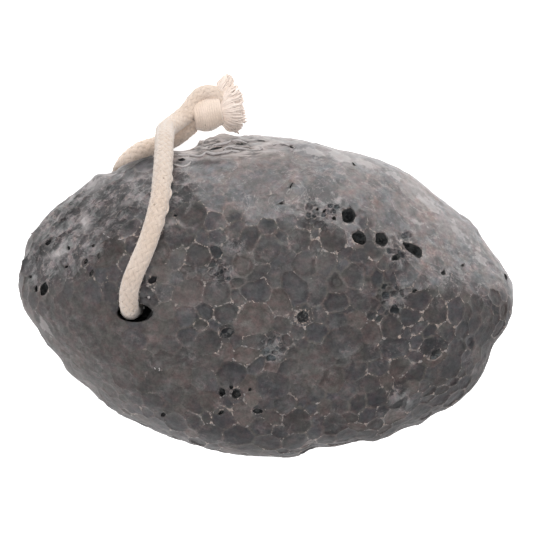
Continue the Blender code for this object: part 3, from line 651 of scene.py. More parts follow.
def cotton_material(look):
    """Undyed cotton: fine fibres along each yarn, soft and matt, with painted shade between the yarns."""
    made, wire, shader = new_material("cotton_yarn")
    along = wire.node("ShaderNodeUVMap", uv_map="fibre").outputs["UV"]
    stretched = wire.node("ShaderNodeMapping", {"Vector": along, "Scale": (0.5, 9.0, 1.0)}).outputs[0]
    fibre = wire.noise(2.2, 4.0, 0.65, vector=stretched)
    grain = wire.effect("fine_grain", scale=3200.0, strength=0.12)
    specks = wire.effect("specks", scale=420.0, amount=0.17)
    color = wire.blend(wire.spread(wire.noise(190.0, 2.0), 0.35, 0.65), look.cotton, look.cotton_warm)
    color = wire.scaled(color, wire.times(wire.spread(fibre, 0.25, 0.75, 0.74, 1.12), grain["Value"]))
    # Painted shade on the core and the yarns that pass under, and painted light on the frayed ends and fuzz
    color = wire.scaled(color, wire.spread(wire.attribute("sunk_shade"), -1.0, 1.0, 1.2, 0.8))
    # Painted light and shade by height, and the paler faded colour of the frayed ends
    fade_and_shade = wire.attribute("fade_and_shade")
    color = wire.scaled(color, wire.spread(fade_and_shade, -1.0, 1.0, 0.75, 1.25))
    color = wire.blend(wire.spread(fade_and_shade, 0.5, 1.0, 0.0, 0.7), color, look.cotton_faded)
    # Painted contact shadow where the back strand touches the stone's edge
    color = wire.blend(wire.spread(fade_and_shade, -0.7, -1.0, 0.0, 0.6), color, look.cotton_contact_shade)
    color = wire.blend(wire.times(specks["Mask"], 0.5), color, SEED_SPECK)
    # Painted shade along the cord's edges, where it turns from view
    painted_rim = wire.node("ShaderNodeLayerWeight", {"Blend": 0.5}).outputs["Facing"]
    color = wire.blend(wire.spread(painted_rim, 0.45, 0.95, 0.0, 0.7), color, look.cotton_edge_shade)
    height = wire.math("MULTIPLY_ADD", grain["Height"], 0.4, fibre)
    wire.dress(shader, color, wire.spread(fibre, 0.2, 0.8, 0.98, 0.82), height, 0.00008, {
        "Specular IOR Level": 0.2, "Sheen Weight": 0.35, "Sheen Roughness": 0.6})
    return made


def floor_material(look):
    """A lit white table top."""
    made, wire, shader = new_material("white_table")
    cloud = wire.noise(30.0, vector=wire.places["Generated"])
    wire.feed(wire.spread(cloud, 0.3, 0.7, 0.6, 0.7), shader.inputs["Roughness"])
    for name, value in (("Base Color", look.table_color), ("Emission Color", (1, 1, 1)),
                        ("Emission Strength", look.table_glow)):
        wire.feed(value, shader.inputs[name])
    return made


# ---------------------------------------------------------------- stone


def noise_at(points, size):
    """Smooth noise from -1 to 1 at each point, with features of about the given size."""
    return np.array([noise(Vector(point)) for point in points / size])


class Form:
    """The stone's smooth outer form. Directions and points are arrays, one row each."""

    def __init__(self):
        outline = np.array(OUTLINE)
        angles = np.arctan2(outline[:, 1], outline[:, 0])
        radii = np.hypot(outline[:, 0], outline[:, 1])
        order = np.argsort(angles)
        three_turns = np.concatenate([angles[order] + turn for turn in (-math.tau, 0.0, math.tau)])
        self.angles = np.linspace(-math.pi, math.pi, 361)
        self.radii = self.smooth_curve(self.angles, three_turns, np.tile(radii[order], 3))
        # The outline is drawn at the widest level, so what the facets take off there is given back.
        reach = np.zeros(len(self.angles))
        for rise in np.linspace(-0.6, 0.6, 25):
            spots = self.worn(self.radii, self.angles, np.full(len(self.angles), rise))
            reach = np.maximum(reach, np.hypot(spots[:, 0], spots[:, 1]))
        self.spread = self.radii / reach

    @staticmethod
    def smooth_curve(wanted, places, values):
        """Values between the places, on a curve that turns smoothly through them."""
        slopes = np.gradient(values, places)
        i = np.clip(np.searchsorted(places, wanted) - 1, 0, len(places) - 2)
        span = places[i + 1] - places[i]
        t = (wanted - places[i]) / span
        return (
            (2 * t**3 - 3 * t**2 + 1) * values[i] + (t**3 - 2 * t**2 + t) * span * slopes[i]
            + (3 * t**2 - 2 * t**3) * values[i + 1] + (t**3 - t**2) * span * slopes[i + 1]
        )

    @staticmethod
    def worn(radius, angle, rise):
        """Points towards angles and rises from -1 to 1, on the ellipsoid cut by the facets."""
        across = np.sqrt(np.clip(1 - rise**2, 0, None))
        height = np.where(rise > 0, TOP_RISE, BACK_DROP + BACK_ROUND)
        level = radius * across
        spots = np.stack([level * np.cos(angle), level * np.sin(angle), height * rise], -1)
        total = (across**ROUNDNESS + np.abs(rise) ** ROUNDNESS) ** (FACET_BLEND / ROUNDNESS)
        for direction, distance in FACETS:
            total += np.clip(spots @ np.array(direction) / distance, 0, None) ** FACET_BLEND
        return spots * total[:, None] ** (-1 / FACET_BLEND)

    def points(self, directions):
        """The points of the form towards unit directions."""
        angle = np.arctan2(directions[:, 1], directions[:, 0])
        spots = self.worn(np.interp(angle, self.angles, self.radii), angle, directions[:, 2])
        lump = 1 + LUMP_SHARE * noise_at(spots, LUMP_SIZE) * np.abs(directions[:, 2])
        spread = np.interp(angle, self.angles, self.spread)
        spots = spots * np.stack([spread * lump, spread * lump, lump], -1)
        spots[:, 2] = np.maximum(spots[:, 2] + BACK_DROP, 0.0)
        return spots

    def normals(self, directions):
        """Outward unit normals at the form's points towards unit directions."""
        step = 0.01
        helper = np.where(np.abs(directions[:, 2:]) > 0.9, [[1.0, 0, 0]], [[0, 0, 1.0]])
        side = unit(np.cross(directions, helper))
        ahead = np.cross(directions, side)
        across = self.points(unit(directions + step * side)) - self.points(unit(directions - step * side))
        along = self.points(unit(directions + step * ahead)) - self.points(unit(directions - step * ahead))
        normals = unit(np.cross(across, along))
        return normals * np.sign(np.sum(normals * directions, axis=1))[:, None]

    def towards(self, x, y):
        """The direction whose point on the upper side stands at x and y."""
        direction = unit(np.array([[x / 60, y / 40, 0.7]]))
        for _ in range(40):
            spot = self.points(direction)[0]
            level = direction[0, :2] + np.array([(x - spot[0]) / 60, (y - spot[1]) / 40])
            direction = unit(np.array([[*level, math.sqrt(max(0.02, 1 - level @ level))]]))
        return direction[0]


def unit(rows):
    return rows / np.linalg.norm(rows, axis=1)[:, None]


class Bubbles:
    """The net of burst bubbles over the form: middles, and the ring of wall points round each."""

    def __init__(self, form):
        self.form = form
        self.middles, self.radii, self.depths, self.tones = [], [], [], []
        self.spots = np.empty((0, 3))
        self.chance = random.Random(BUBBLE_SEED)
        for x, y, radius, _, drawn, _ in OPEN_PITS:
            if radius > WALLED_PIT:
                self.add(form.towards(x, y), radius * drawn, 0.05, 0.3)
        first = len(self.radii)
        for x, y, radius, depth, tone in BROAD_BUBBLES:
            self.add(form.towards(x, y), radius, depth, tone)
        self.broad = (first, len(self.radii))
        for x, y, reach in CRUMB_SPOTS:
            self.crowd(x, y, reach)
        for radius, tries in BUBBLE_SIZES:
            rows = [[self.chance.gauss(0, 1) for _ in range(3)] for _ in range(tries)]
            directions = unit(np.array(rows))
            for direction, spot in zip(directions, form.points(directions)):
                if self.has_room(spot, radius):
                    self.add(direction, radius, self.own_depth(radius), self.chance.random())
        self.net()

    def own_depth(self, radius):
        return radius * self.chance.choice((0.005, 0.02, 0.04, 0.06, 0.13))

    def crowd(self, x, y, reach):
        """Fills a spot with crumbs."""
        for _ in range(CRUMB_TRIES):
            away = [self.chance.gauss(0, reach / 2) for _ in range(2)]
            direction = self.form.towards(x + away[0], y + away[1])
            radius = CRUMB_RADIUS * self.chance.uniform(0.7, 1.5)
            if self.has_room(self.form.points(direction[None])[0], radius):
                depth = radius * self.chance.uniform(0.2, 1.0)
                self.add(direction, radius, depth, self.chance.uniform(0.2, 1.8))

    def add(self, direction, radius, depth, tone):
        self.middles.append(direction)
        self.spots = np.vstack([self.spots, self.form.points(direction[None])])
        self.radii.append(radius)
        self.depths.append(depth)
        self.tones.append(tone)

    def has_room(self, spot, radius):
        gaps = np.linalg.norm(self.spots - spot, axis=1)
        return bool(np.all(gaps > BUBBLE_PACKING * (radius + np.array(self.radii))))

    def net(self):
        """Joins neighbouring middles by triangles. Each triangle holds a corner of three bubbles."""
        web = bmesh.new()
        for middle in self.middles:
            web.verts.new(middle)
        bmesh.ops.convex_hull(web, input=web.verts)
        web.verts.index_update()
        while self.turn_long_edges(web):
            pass
        web.faces.index_update()
        web.edges.index_update()
        middles, radii = np.array(self.middles), np.array(self.radii)
        trios = np.array([[vert.index for vert in face.verts] for face in web.faces])
        weights = (1 / radii)[trios][:, :, None]
        corners = unit((middles[trios] * weights).sum(axis=1))
        ends = np.array([[face.index for face in edge.link_faces] for edge in web.edges])
        shares = (np.arange(1, WALL_STEPS) / WALL_STEPS)[None, :, None]
        between = corners[ends[:, :1]] * (1 - shares) + corners[ends[:, 1:]] * shares
        self.crest = unit(np.vstack([corners, between.reshape(-1, 3)]))
        self.corner_count = len(corners)
        self.rings = [self.ring(vert, ends) for vert in web.verts]
        web.free()

    def ring(self, vert, ends):
        """Crest points round a bubble: a corner, then the points of the wall that follows it."""
        loop = start = vert.link_loops[0]
        ring = []
        steps = WALL_STEPS - 1
        while not ring or loop is not start:
            before = loop.link_loop_prev
            first = self.corner_count + before.edge.index * steps
            points = list(range(first, first + steps))
            if ends[before.edge.index][0] != loop.face.index:
                points.reverse()
            ring += [loop.face.index, *points]
            loop = before.link_loop_radial_next
        return ring

    def turn_long_edges(self, web):
        """Turns each edge that the two corners facing it see under more than half a turn in all."""
        turned = False
        for edge in list(web.edges):
            ends = [self.spots[vert.index] for vert in edge.verts]
            angle = 0.0
            for face in edge.link_faces:
                far = next(vert for vert in face.verts if vert not in edge.verts)
                sides = [Vector(end - self.spots[far.index]) for end in ends]
                angle += sides[0].angle(sides[1])
            if angle > math.pi + 0.01 and bmesh.utils.edge_rotate(edge, True):
                turned = True
        return turned


def skin_and_sheen_share(points, normals):
    """How much the clear skin veils the stone and the painted sheen on it: 1 on its upper flanks, which lean
    towards the key lamp, 0 on its broad face.
    """
    lean = 0.45 * normals[:, 0] + 0.95 * normals[:, 1]
    # At the right end the skin stops along a ragged line that is softer low down
    under = np.clip((34 - points[:, 2]) / 8, 0, 1)
    uneven = 7.0 * noise_at(points, 8.0) * under
    below = np.clip((2.5 + uneven - points[:, 1]) / (3 + 7 * under), 0, 1)
    lean -= 0.6 * below * np.clip((points[:, 0] - 30) / 8, 0, 1)
    ragged = 0.16 * noise_at(points, 6.0) + 0.14 * noise_at(points, 2.2)
    for x, y, reach in BARE:
        lean = lean - 0.8 * np.clip(1.3 - np.hypot(points[:, 0] - x, points[:, 1] - y) / reach, 0, 1)
    return np.clip((lean + ragged - 0.31) / 0.22, 0, 1) * np.clip((points[:, 2] - 6) / 10, 0, 1)


def nearness(points, spots, full):
    """Falls off from a full value at the middle of the nearest spot. A spot is x, y and reach."""
    share = np.zeros(len(points))
    for x, y, reach in spots:
        share = np.maximum(share, full - np.hypot(points[:, 0] - x, points[:, 1] - y) / reach)
    return share


def crumbled_share(points):
    """How crumbled each point is, so that dark and pale patches take the place of the bubbles."""
    share = 1.6 * nearness(points, CRUMBLED, 1.3) + 0.7 * noise_at(points, 3.5)
    return np.clip(share, 0, 1) * (points[:, 2] > BACK_DROP - 6)


def drawn_distance(points, x, y, drawn, angle):
    """Level distance from a spot, measured shorter along the angle that the spot is drawn out in."""
    ways = points[:, :2] - np.array([x, y])
    turn = math.radians(angle)
    along = (ways[:, 0] * math.cos(turn) + ways[:, 1] * math.sin(turn)) / drawn
    across = (ways[:, 1] * math.cos(turn) - ways[:, 0] * math.sin(turn)) * drawn
    return np.hypot(along, across)


def rubbed_share(points):
    """How smooth each point is rubbed."""
    share = 1.4 * nearness(points, RUBBED, 1.35) + 0.5 * noise_at(points, 3.0)
    return np.clip(share, 0, 1) * (points[:, 2] > BACK_DROP)


def spotted(points, spots):
    """The strength of the nearest spot, for points on the upper side."""
    share = np.zeros(len(points))
    ragged = 1 + 0.7 * noise_at(points, 0.9)
    for x, y, radius, drawn, angle, strength in spots:
        near = 1.25 - drawn_distance(points, x, y, drawn, angle) / radius * ragged
        share = np.maximum(share, strength * np.clip(near, 0, 1))
    return share * (points[:, 2] > BACK_DROP - 3)


def pleats(points):
    """Pleats along the upper rim, from -1 to 1, and how much of the rim's pleating each point has."""
    stretched = points * np.array([1 / 6.5, 1 / 0.7, 1 / 7.0])
    ridges = 1.6 * noise_at(stretched + 0.7 * noise_at(points, 3.0)[:, None], 1.0)
    share = np.clip((points[:, 1] - 26.8) / 1.5, 0, 1) * np.clip((points[:, 0] + 24) / 3, 0, 1)
    share *= np.clip((5 - points[:, 0]) / 7, 0, 1) * np.clip((points[:, 2] - 8) / 4, 0, 1)
    return ridges, share


def pit_distance(points):
    """Level distance from the nearest larger open pit's rim."""
    nearest = np.full(len(points), 9.0)
    for x, y, radius, _, drawn, angle in OPEN_PITS:
        if radius > WALLED_PIT:
            nearest = np.minimum(nearest, drawn_distance(points, x, y, drawn, angle) - radius)
    nearest = np.where(points[:, 2] > BACK_DROP, nearest, 9.0)
    return np.maximum(nearest, 0.0)


class Surface:
    """The stone's surface: raised walls round the bubbles, and rings of points sunk down to each middle.

    Arrays named after the walls have one row for each point of each bubble's ring.
    """

    def __init__(self, form, bubbles):
        self.form, self.bubbles = form, bubbles
        rings = bubbles.rings
        sizes = [len(ring) for ring in rings]
        self.crest = np.concatenate(rings)
        self.owner = np.repeat(np.arange(len(rings)), sizes)
        starts = np.concatenate([[0], np.cumsum(sizes)])
        self.nexts = np.arange(len(self.crest)) + 1
        self.nexts[starts[1:] - 1] = starts[:-1]

        wobble = CREST_WOBBLE * np.array([
            [noise(Vector(way * 61 + shift)) for shift in (0, 7, 13)] for way in bubbles.crest])
        self.crest_ways = unit(bubbles.crest + wobble)
        self.crest_points = form.points(self.crest_ways)
        self.crest_normals = form.normals(self.crest_ways)
        self.middle_ways = unit(np.add.reduceat(self.crest_ways[self.crest], starts[:-1]))
        self.middle_points = form.points(self.middle_ways)
        self.middle_normals = form.normals(self.middle_ways)

        self.reach = np.linalg.norm(self.crest_points[self.crest] - self.middle_points[self.owner], axis=1)
        self.mean_reach = np.add.reduceat(self.reach, starts[:-1]) / sizes
        self.pits = np.clip((np.array(bubbles.depths) / np.array(bubbles.radii) - 0.45) / 0.6, 0, 1)
        self.skin_and_sheen = skin_and_sheen_share(self.middle_points, self.middle_normals)
        self.place_rings()

    def wall_widths(self):
        """How far the wall reaches in from each wall point, with the bubble's corners rounded off."""
        limit = 1.12 * self.mean_reach[self.owner]
        round_reach = (self.reach**-5.0 + limit**-5.0) ** (-1 / 5.0) * 1.10
        inset = np.clip(0.10 + (self.reach - round_reach), 0.08, 0.6 * self.reach)
        first, last = self.bubbles.broad
        numbers = np.arange(len(self.bubbles.rings))
        fixed = (numbers >= first) & (numbers < last)
        own_reach = np.where(fixed, self.bubbles.radii, 99.0)[self.owner]
        return np.clip(np.maximum(inset, self.reach - own_reach), 0.08, 0.85 * self.reach)

    def place_rings(self):
        """Where the three rings of each bubble stand, from 0 at the wall to 1 at its middle."""
        inset = self.wall_widths()
        self.deep = self.pits[self.owner] > 0
        self.lip = inset / self.reach
        foot = (inset + np.where(self.deep, 0.16, 0.2)) / self.reach
        self.foot = np.minimum(foot, self.lip + 0.4 * (1 - self.lip))
        flat_inner = np.maximum(self.foot + 0.2 * (1 - self.foot), 0.5)
        self.inner = np.where(self.deep, self.foot + 0.35 * (1 - self.foot), flat_inner)

    def depths(self):
        """How deep each bubble is: hardly at all under the skin, and even on the flat underside."""
        depth = np.array(self.bubbles.depths)
        shallow = depth * (1 - 0.93 * self.skin_and_sheen) * (1 - 0.7 * rubbed_share(self.middle_points))
        depth = np.where(self.pits > 0, depth, shallow)
        return np.where(self.middle_points[:, 2] < 0.01, 0.12, depth)

    def layers(self):
        """The three rings of points, and the bubbles' middles."""
        depth = self.depths()
        crest_ways, middle_ways = self.crest_ways[self.crest], self.middle_ways[self.owner]
        rough = 0.05 * (1 - self.skin_and_sheen[self.owner])
        layers = []
        for share, sink in ((self.lip, np.where(self.deep, 0.04, 0.03)),
                            (self.foot, np.where(self.deep, 0.6, 0.9)), (self.inner, 0.97)):
            ways = unit(crest_ways * (1 - share)[:, None] + middle_ways * share[:, None])
            spots = self.form.points(ways)
            fall = depth[self.owner] * sink + rough * noise_at(spots, 0.9)
            layers.append(spots - self.middle_normals[self.owner] * fall[:, None])
        return [*layers, self.middle_points - self.middle_normals * depth[:, None]]

    def walls(self):
        """The crest points, raised a little and unevenly."""
        rise = 0.01 + 0.07 * noise_at(self.crest_points, 1.7)
        rise[: self.bubbles.corner_count] += 0.02
        rise *= 1 - 0.8 * skin_and_sheen_share(self.crest_points, self.crest_normals)
        rise = np.where(self.crest_points[:, 2] < 0.02, 0.0, rise)
        return self.crest_points + self.crest_normals * rise[:, None]

    def faces(self):
        here = np.arange(len(self.crest))
        firsts = [len(self.crest_points) + len(self.crest) * k for k in range(4)]
        crest, pairs = self.crest, list(zip(here, self.nexts))
        faces = [(crest[i], crest[j], firsts[0] + j, firsts[0] + i) for i, j in pairs]
        for outer, within in zip(firsts[:2], firsts[1:3]):
            faces += [(outer + i, outer + j, within + j, within + i) for i, j in pairs]
        faces += [(firsts[2] + i, firsts[2] + j, firsts[3] + k) for (i, j), k in zip(pairs, self.owner)]
        return faces

    def net_values(self):
        """Distance from the wall, nearness to a corner and the painted shade of the pits, at each point."""
        is_corner = (self.crest < self.bubbles.corner_count) * 1.0
        none = np.zeros(len(self.crest_points))
        within = np.zeros(len(self.crest) + len(self.pits))
        corner = np.concatenate([none, is_corner, is_corner * 0.7, within])
        corner[: self.bubbles.corner_count] = 1.0
        edges = (np.where(self.deep, 0.05, self.lip * self.reach),
                 np.where(self.deep, 0.3, self.foot * self.reach), self.inner * self.reach)
        pits = self.pits[self.owner]
        return (np.concatenate([none, *edges, self.mean_reach]), corner,
                np.concatenate([none, pits * 0.1, pits * 0.8, pits, self.pits]))


def stone_shape(form, bubbles):
    """Points, faces and point values of the stone, its bubbles sunk between raised walls."""
    net = Surface(form, bubbles)
    points = np.vstack([net.walls(), *net.layers()])
    sides = np.vstack([net.crest_normals, *[net.middle_normals[net.owner]] * 3, net.middle_normals])
    ridges, pleated = pleats(points)
    upright = np.clip(1.3 - 1.6 * np.abs(sides[:, 2]), 0, 1)
    wear = -0.5 * np.clip(noise_at(points, 2.3) - 0.05, 0, 1) * upright + 0.12 * noise_at(points, 1.1)
    moved = (wear + 0.42 * ridges * pleated) * (points[:, 2] > 0.5)
    skin_and_sheen = skin_and_sheen_share(points, sides)
    # Painted highlight along the upper rim, where it faces the key lamp
    painted_rim = np.clip((sides[:, 1] - 0.82) / 0.14, 0, 1) * np.clip((points[:, 0] + 14) / 8, 0, 1) * skin_and_sheen
    edge_pits = pit_distance(points)
    # Painted shade in the pleats' valleys, carried with the pits' shade
    valley_shade = np.clip((-ridges - 0.2) / 0.3, 0, 1) * pleated
    edge, corner, pit_shading = net.net_values()
    per_point = {
        "edge": np.minimum(edge, edge_pits + 0.08),
        "corner": np.maximum(corner, np.clip(1 - edge_pits / 0.6, 0, 1)),
        "pit_shade": np.maximum(pit_shading, 0.3 * valley_shade),
        "skin_and_sheen": skin_and_sheen,
        "rubbed": rubbed_share(points),
        "crumbled": crumbled_share(points) * (1 - pleated),
        "pleated": pleated,
        # Stains, and painted shade where the back strand touches, under the folds and on the lower right
        "stain_and_shade": spotted(points, STAINS_AND_SHADE),
        "pale_and_sheen": spotted(points, PALE_PATCHES_AND_SHEEN),
        "lip": np.clip(1 - edge_pits / 0.55, 0, 1),
        # Smears and painted glints, with painted highlights on the upper rim and on the pleats' crests
        "smear_and_glint": np.maximum(spotted(points, SMEARS_AND_GLINTS) + 0.3 * painted_rim,
                            np.clip(0.25 + ridges / 0.5, 0.1, 0.7) * pleated),
    }
    hues = np.array([bubbles.chance.random() for _ in bubbles.rings])
    per_face = {name: np.tile(np.array(values)[net.owner], 4)
                for name, values in (("tone", bubbles.tones), ("hue", hues))}
    return points + sides * moved[:, None], net.faces(), per_point, per_face


def mesh_piece(name, points, faces, per_point=(), per_face=()):
    """A smooth closed mesh from points in millimetres, with values on its points and faces."""
    data = bpy.data.meshes.new(name)
    data.from_pydata((np.asarray(points) * MM).tolist(), [], [tuple(int(i) for i in face) for face in faces])
    for domain, values in (("POINT", dict(per_point)), ("FACE", dict(per_face))):
        for key, value in values.items():
            data.attributes.new(key, "FLOAT", domain).data.foreach_set("value", np.asarray(value, np.float32))
    shape = bmesh.new()
    shape.from_mesh(data)
    bmesh.ops.recalc_face_normals(shape, faces=shape.faces)
    shape.to_mesh(data)
    shape.free()
    data.shade_smooth()
    item = bpy.data.objects.new(name, data)
    section("foot_stone").objects.link(item)
    return item


def turns(count):
    """Evenly spaced angles of one full turn."""
    return [math.tau * k / count for k in range(count)]


def mouth_reach(angle, height):
    """How far the hole's mouth opens from its middle: a flat lens, joined to the cord's groove."""
    long, short = MOUTH_RADII
    lens = 1 / math.hypot(math.cos(angle) / long, math.sin(angle) / short)
    heights = [row[0] for row in GROOVE]
    x, y = (float(np.interp(height, heights, [row[k] for row in GROOVE])) for k in (1, 2))
    facing = x * math.cos(angle) + y * math.sin(angle)
    under = GROOVE_RADIUS**2 - x * x - y * y + facing**2
    groove = facing + math.sqrt(under) if under > 0 else 0.0
    return (lens**12 + max(groove, 0.01) ** 12) ** (1 / 12)


def hole_rings():
    """The drilled hole, narrowed at its waist and its upper mouth. One ring of points a level."""
    rings = []
    for (x, y), levels in HOLE:
        for z, radius in levels:
            ring = []
            for angle in turns(HOLE_SIDES):
                reach = radius or mouth_reach(angle, z)
                reach *= 1 + 0.05 * noise(Vector((math.cos(angle) * 2, math.sin(angle) * 2, z / 3)))
                ring.append((x + reach * math.cos(angle), y + reach * math.sin(angle), z))
            rings.append(ring)
    return rings


def pit_rings(form, number, x, y, radius, depth, drawn, angle):
    """An open pit: a rough upright egg, its widest level just under the surface."""
    middle = form.points(form.towards(x, y)[None])[0][2] - 0.2 * depth
    turn = math.radians(angle)
    corners = 3 if drawn > THREE_CORNERED else 5
    slice_angle = math.tau / corners
    rings = []
    for rise in np.linspace(-0.97, 0.97, 9):
        across = math.sqrt(1 - rise * rise)
        ring = []
        for way in turns(PIT_SIDES):
            spot = Vector((math.cos(way) + 9 * number, math.sin(way), rise))
            rough = 1 + 0.34 * noise(spot * 0.9) + 0.06 * noise(spot * 3.7)
            flat = math.cos(slice_angle / 2) / math.cos((way + number) % slice_angle - slice_angle / 2)
            rough *= 1.09 * (1 - ANGULAR + ANGULAR * flat)
            along = radius * drawn * across * rough * math.cos(way)
            side = radius / drawn * across * rough * math.sin(way)
            ring.append((x + along * math.cos(turn) - side * math.sin(turn),
                         y + along * math.sin(turn) + side * math.cos(turn), middle + rise * depth))
        rings.append(ring)
    return rings


def fold_rings(form, radius, line):
    """A fold of the skin: a rough round bar, half sunk into the surface."""
    spots = [form.points(form.towards(x, y)[None])[0] for x, y in line]
    path = smooth_route(spots, 0.22)
    _, side, up = carried_frames(path)
    rings = []
    for k, spot in enumerate(path):
        share = k / (len(path) - 1)
        reach = radius * (1 - (2 * share - 1) ** 6) ** 0.5 * (1 + 0.5 * noise(Vector(spot * 1.3))) + 0.02
        spot = spot - unit(spot[None] - np.array([[0.0, 0.0, BACK_DROP]]))[0] * FOLD_SUNK * radius
        rings.append([tuple(spot + reach * (math.cos(turn) * side[k] + math.sin(turn) * up[k]))
                      for turn in np.linspace(0, math.tau, FOLD_SIDES + 1)[:-1]])
    return rings


# The values that each point of the stone has, as they are on a plain place
PLAIN_VALUES = {"edge": 3.0} | dict.fromkeys(
    ("corner", "pit_shade", "skin_and_sheen", "rubbed", "crumbled", "smear_and_glint", "pleated", "stain_and_shade", "pale_and_sheen", "lip"), 0.0)


def ring_tubes(name, tubes):
    """Closed tubes, each as its rings of points and the values that its points have beside the plain ones."""
    points, faces = [], []
    per_point = {key: [] for key in PLAIN_VALUES}
    for rings, values in tubes:
        start, sides = len(points), len(rings[0])
        for key, value in {**PLAIN_VALUES, **values}.items():
            per_point[key] += [value] * (len(rings) * sides)
        for ring in rings:
            points += ring
        for level in range(len(rings) - 1):
            for k in range(sides):
                a, b = start + level * sides + k, start + level * sides + (k + 1) % sides
                faces.append((a, b, b + sides, a + sides))
        faces.append(tuple(range(start, start + sides)))
        faces.append(tuple(range(len(points) - sides, len(points))))
    return mesh_piece(name, points, faces, per_point, {"tone": [0.1] * len(faces), "hue": [0.5] * len(faces)})


def finish_surface(item, form):
    """Adds the folds, cuts the hole and the pits, and leaves the result in the mesh."""
    # The folds and chips are painted with full glint and pale sheen, as highlights
    folds = [(fold_rings(form, *row), {"smear_and_glint": 1.0, "skin_and_sheen": 0.3, "pale_and_sheen": 1.5}) for row in FOLDS]
    # The walls of the hole and the pits get painted shade
    spaces = [(hole_rings(), {"pit_shade": 0.8, "lip": 0.6})]
    for number, row in enumerate(OPEN_PITS):
        spaces.append((pit_rings(form, number, *row), {"pit_shade": min(1.0, 0.25 + 0.3 * row[3]), "lip": 0.6}))
    tools = [ring_tubes("folds", folds), ring_tubes("openings", spaces)]
    for tool, operation in zip(tools, ("UNION", "DIFFERENCE")):
        change = item.modifiers.new(tool.name, "BOOLEAN")
        change.operation = operation
        change.solver = "MANIFOLD"
        change.object = tool
    bpy.context.view_layer.update()
    evaluated = item.evaluated_get(bpy.context.evaluated_depsgraph_get())
    finished = bpy.data.meshes.new_from_object(evaluated)
    finished.name = "stone_mesh"
    item.modifiers.clear()
    item.data = finished
    for tool in tools:
        bpy.data.objects.remove(tool, do_unlink=True)


# ---------------------------------------------------------------- cord


def smooth_route(route, step):
    """Evenly spaced points on a smooth curve through a route's points."""
    knots = [Vector(point) for point in route]
    knots = [2 * knots[0] - knots[1]] + knots + [2 * knots[-1] - knots[-2]]
    fine = []
    for before, start, end, after in zip(knots, knots[1:], knots[2:], knots[3:]):
        for k in range(CURVE_STEPS):
            t = k / CURVE_STEPS
            fine.append(0.5 * (
                2 * start + (end - before) * t + (2 * before - 5 * start + 4 * end - after) * t**2
                + (3 * start - before - 3 * end + after) * t**3
            ))
    fine.append(knots[-2])
    rows = np.array(fine)
    lengths = np.concatenate([[0.0], np.cumsum(np.linalg.norm(np.diff(rows, axis=0), axis=1))])
    stations = np.linspace(0, lengths[-1], max(2, round(lengths[-1] / step)) + 1)
    return np.stack([np.interp(stations, lengths, rows[:, axis]) for axis in range(3)], -1)


def carried_frames(path):
    """Tangents, and two sideways directions that turn no more than the path does."""
    tangents = unit(np.gradient(path, axis=0))
    side = np.cross(tangents[0], (0.3, 0.2, 0.9))
    sides = []
    for tangent in tangents:
        side = side - tangent * (side @ tangent)
        side = side / np.linalg.norm(side)
        sides.append(side)
    sides = np.array(sides)
    return tangents, sides, np.cross(tangents, sides)


class Sweep:
    """Gathers swept tubes of yarn into one mesh."""

    def __init__(self, shading_at=None):
        self.points, self.faces, self.fibres, self.sunk_shade = [], [], [], []
        self.shading_at = shading_at or (lambda point: 0.2)
        self.fade_and_shade = []

    def tube(self, path, wide, flat, sides=6, sunk_shade=None, out=None, fade_and_shade=None):
        """A tube with closed ends along a path, wide across and flat outwards, as numbers or one a point."""
        path = np.asarray(path)
        count = len(path)
        wide = np.broadcast_to(wide, count)
        flat = np.broadcast_to(flat, count)
        sunk_shade = np.zeros(count) if sunk_shade is None else np.broadcast_to(sunk_shade, count)
        tangents, side, up = carried_frames(path)
        if out is not None:
            up = unit(out - tangents * np.sum(out * tangents, axis=1)[:, None])
            side = np.cross(up, tangents)
        travelled = np.concatenate([[0.0], np.cumsum(np.linalg.norm(np.diff(path, axis=0), axis=1))])
        first = len(self.points)
        for k in range(count):
            for turn, angle in enumerate(turns(sides)):
                across, outwards = wide[k] * math.cos(angle), flat[k] * math.sin(angle)
                self.points.append(path[k] + across * side[k] + outwards * up[k])
                self.fibres.append((travelled[k], turn / sides))
                self.sunk_shade.append(sunk_shade[k])
                self.fade_and_shade.append(self.shading_at(path[k]) if fade_and_shade is None else fade_and_shade)
        for k in range(count - 1):
            for turn in range(sides):
                a = first + k * sides + turn
                b = first + k * sides + (turn + 1) % sides
                self.faces.append((a, b, b + sides, a + sides))
        self.faces.append(tuple(range(first, first + sides)))
        self.faces.append(tuple(range(first + (count - 1) * sides, first + count * sides)))

    def finish(self, name):
        item = mesh_piece(name, self.points, self.faces, {"sunk_shade": self.sunk_shade, "fade_and_shade": self.fade_and_shade})
        layer = item.data.uv_layers.new(name="fibre")
        corners = np.zeros(len(item.data.loops), np.int32)
        item.data.loops.foreach_get("vertex_index", corners)
        layer.data.foreach_set("uv", np.array(self.fibres, np.float32)[corners].ravel())
        return item


def braid(sweep, route, look, radius=CORD_DIAMETER / 2):
    """Braids counter-wound yarns round a core along a route."""
    path = smooth_route(route, look.braid_step)
    _, side, up = carried_frames(path)
    travelled = np.arange(len(path)) * np.linalg.norm(path[1] - path[0])
    radius = radius * (1 + 0.03 * np.array([noise(Vector((s / 3, 5.0, 0.0))) for s in travelled]))
    yarn = YARN_SHARE * radius
    # The core is given painted shade
    sweep.tube(path, radius * CORE_SHARE, radius * CORE_SHARE, sides=12, sunk_shade=0.7)
    turn = math.tau * travelled / look.braid_turn
    for way in (1, -1):
        over = way * np.cos(look.yarns * turn)
        reach = radius - yarn + yarn * 0.3 * over
        for k in range(look.yarns):
            angle = math.tau * k / look.yarns + way * turn
            out = np.cos(angle)[:, None] * side + np.sin(angle)[:, None] * up
            sweep.tube(path + out * reach[:, None], radius * look.yarn_width, yarn,
                       sunk_shade=np.clip(-over, 0, 1) * 0.5, out=out)


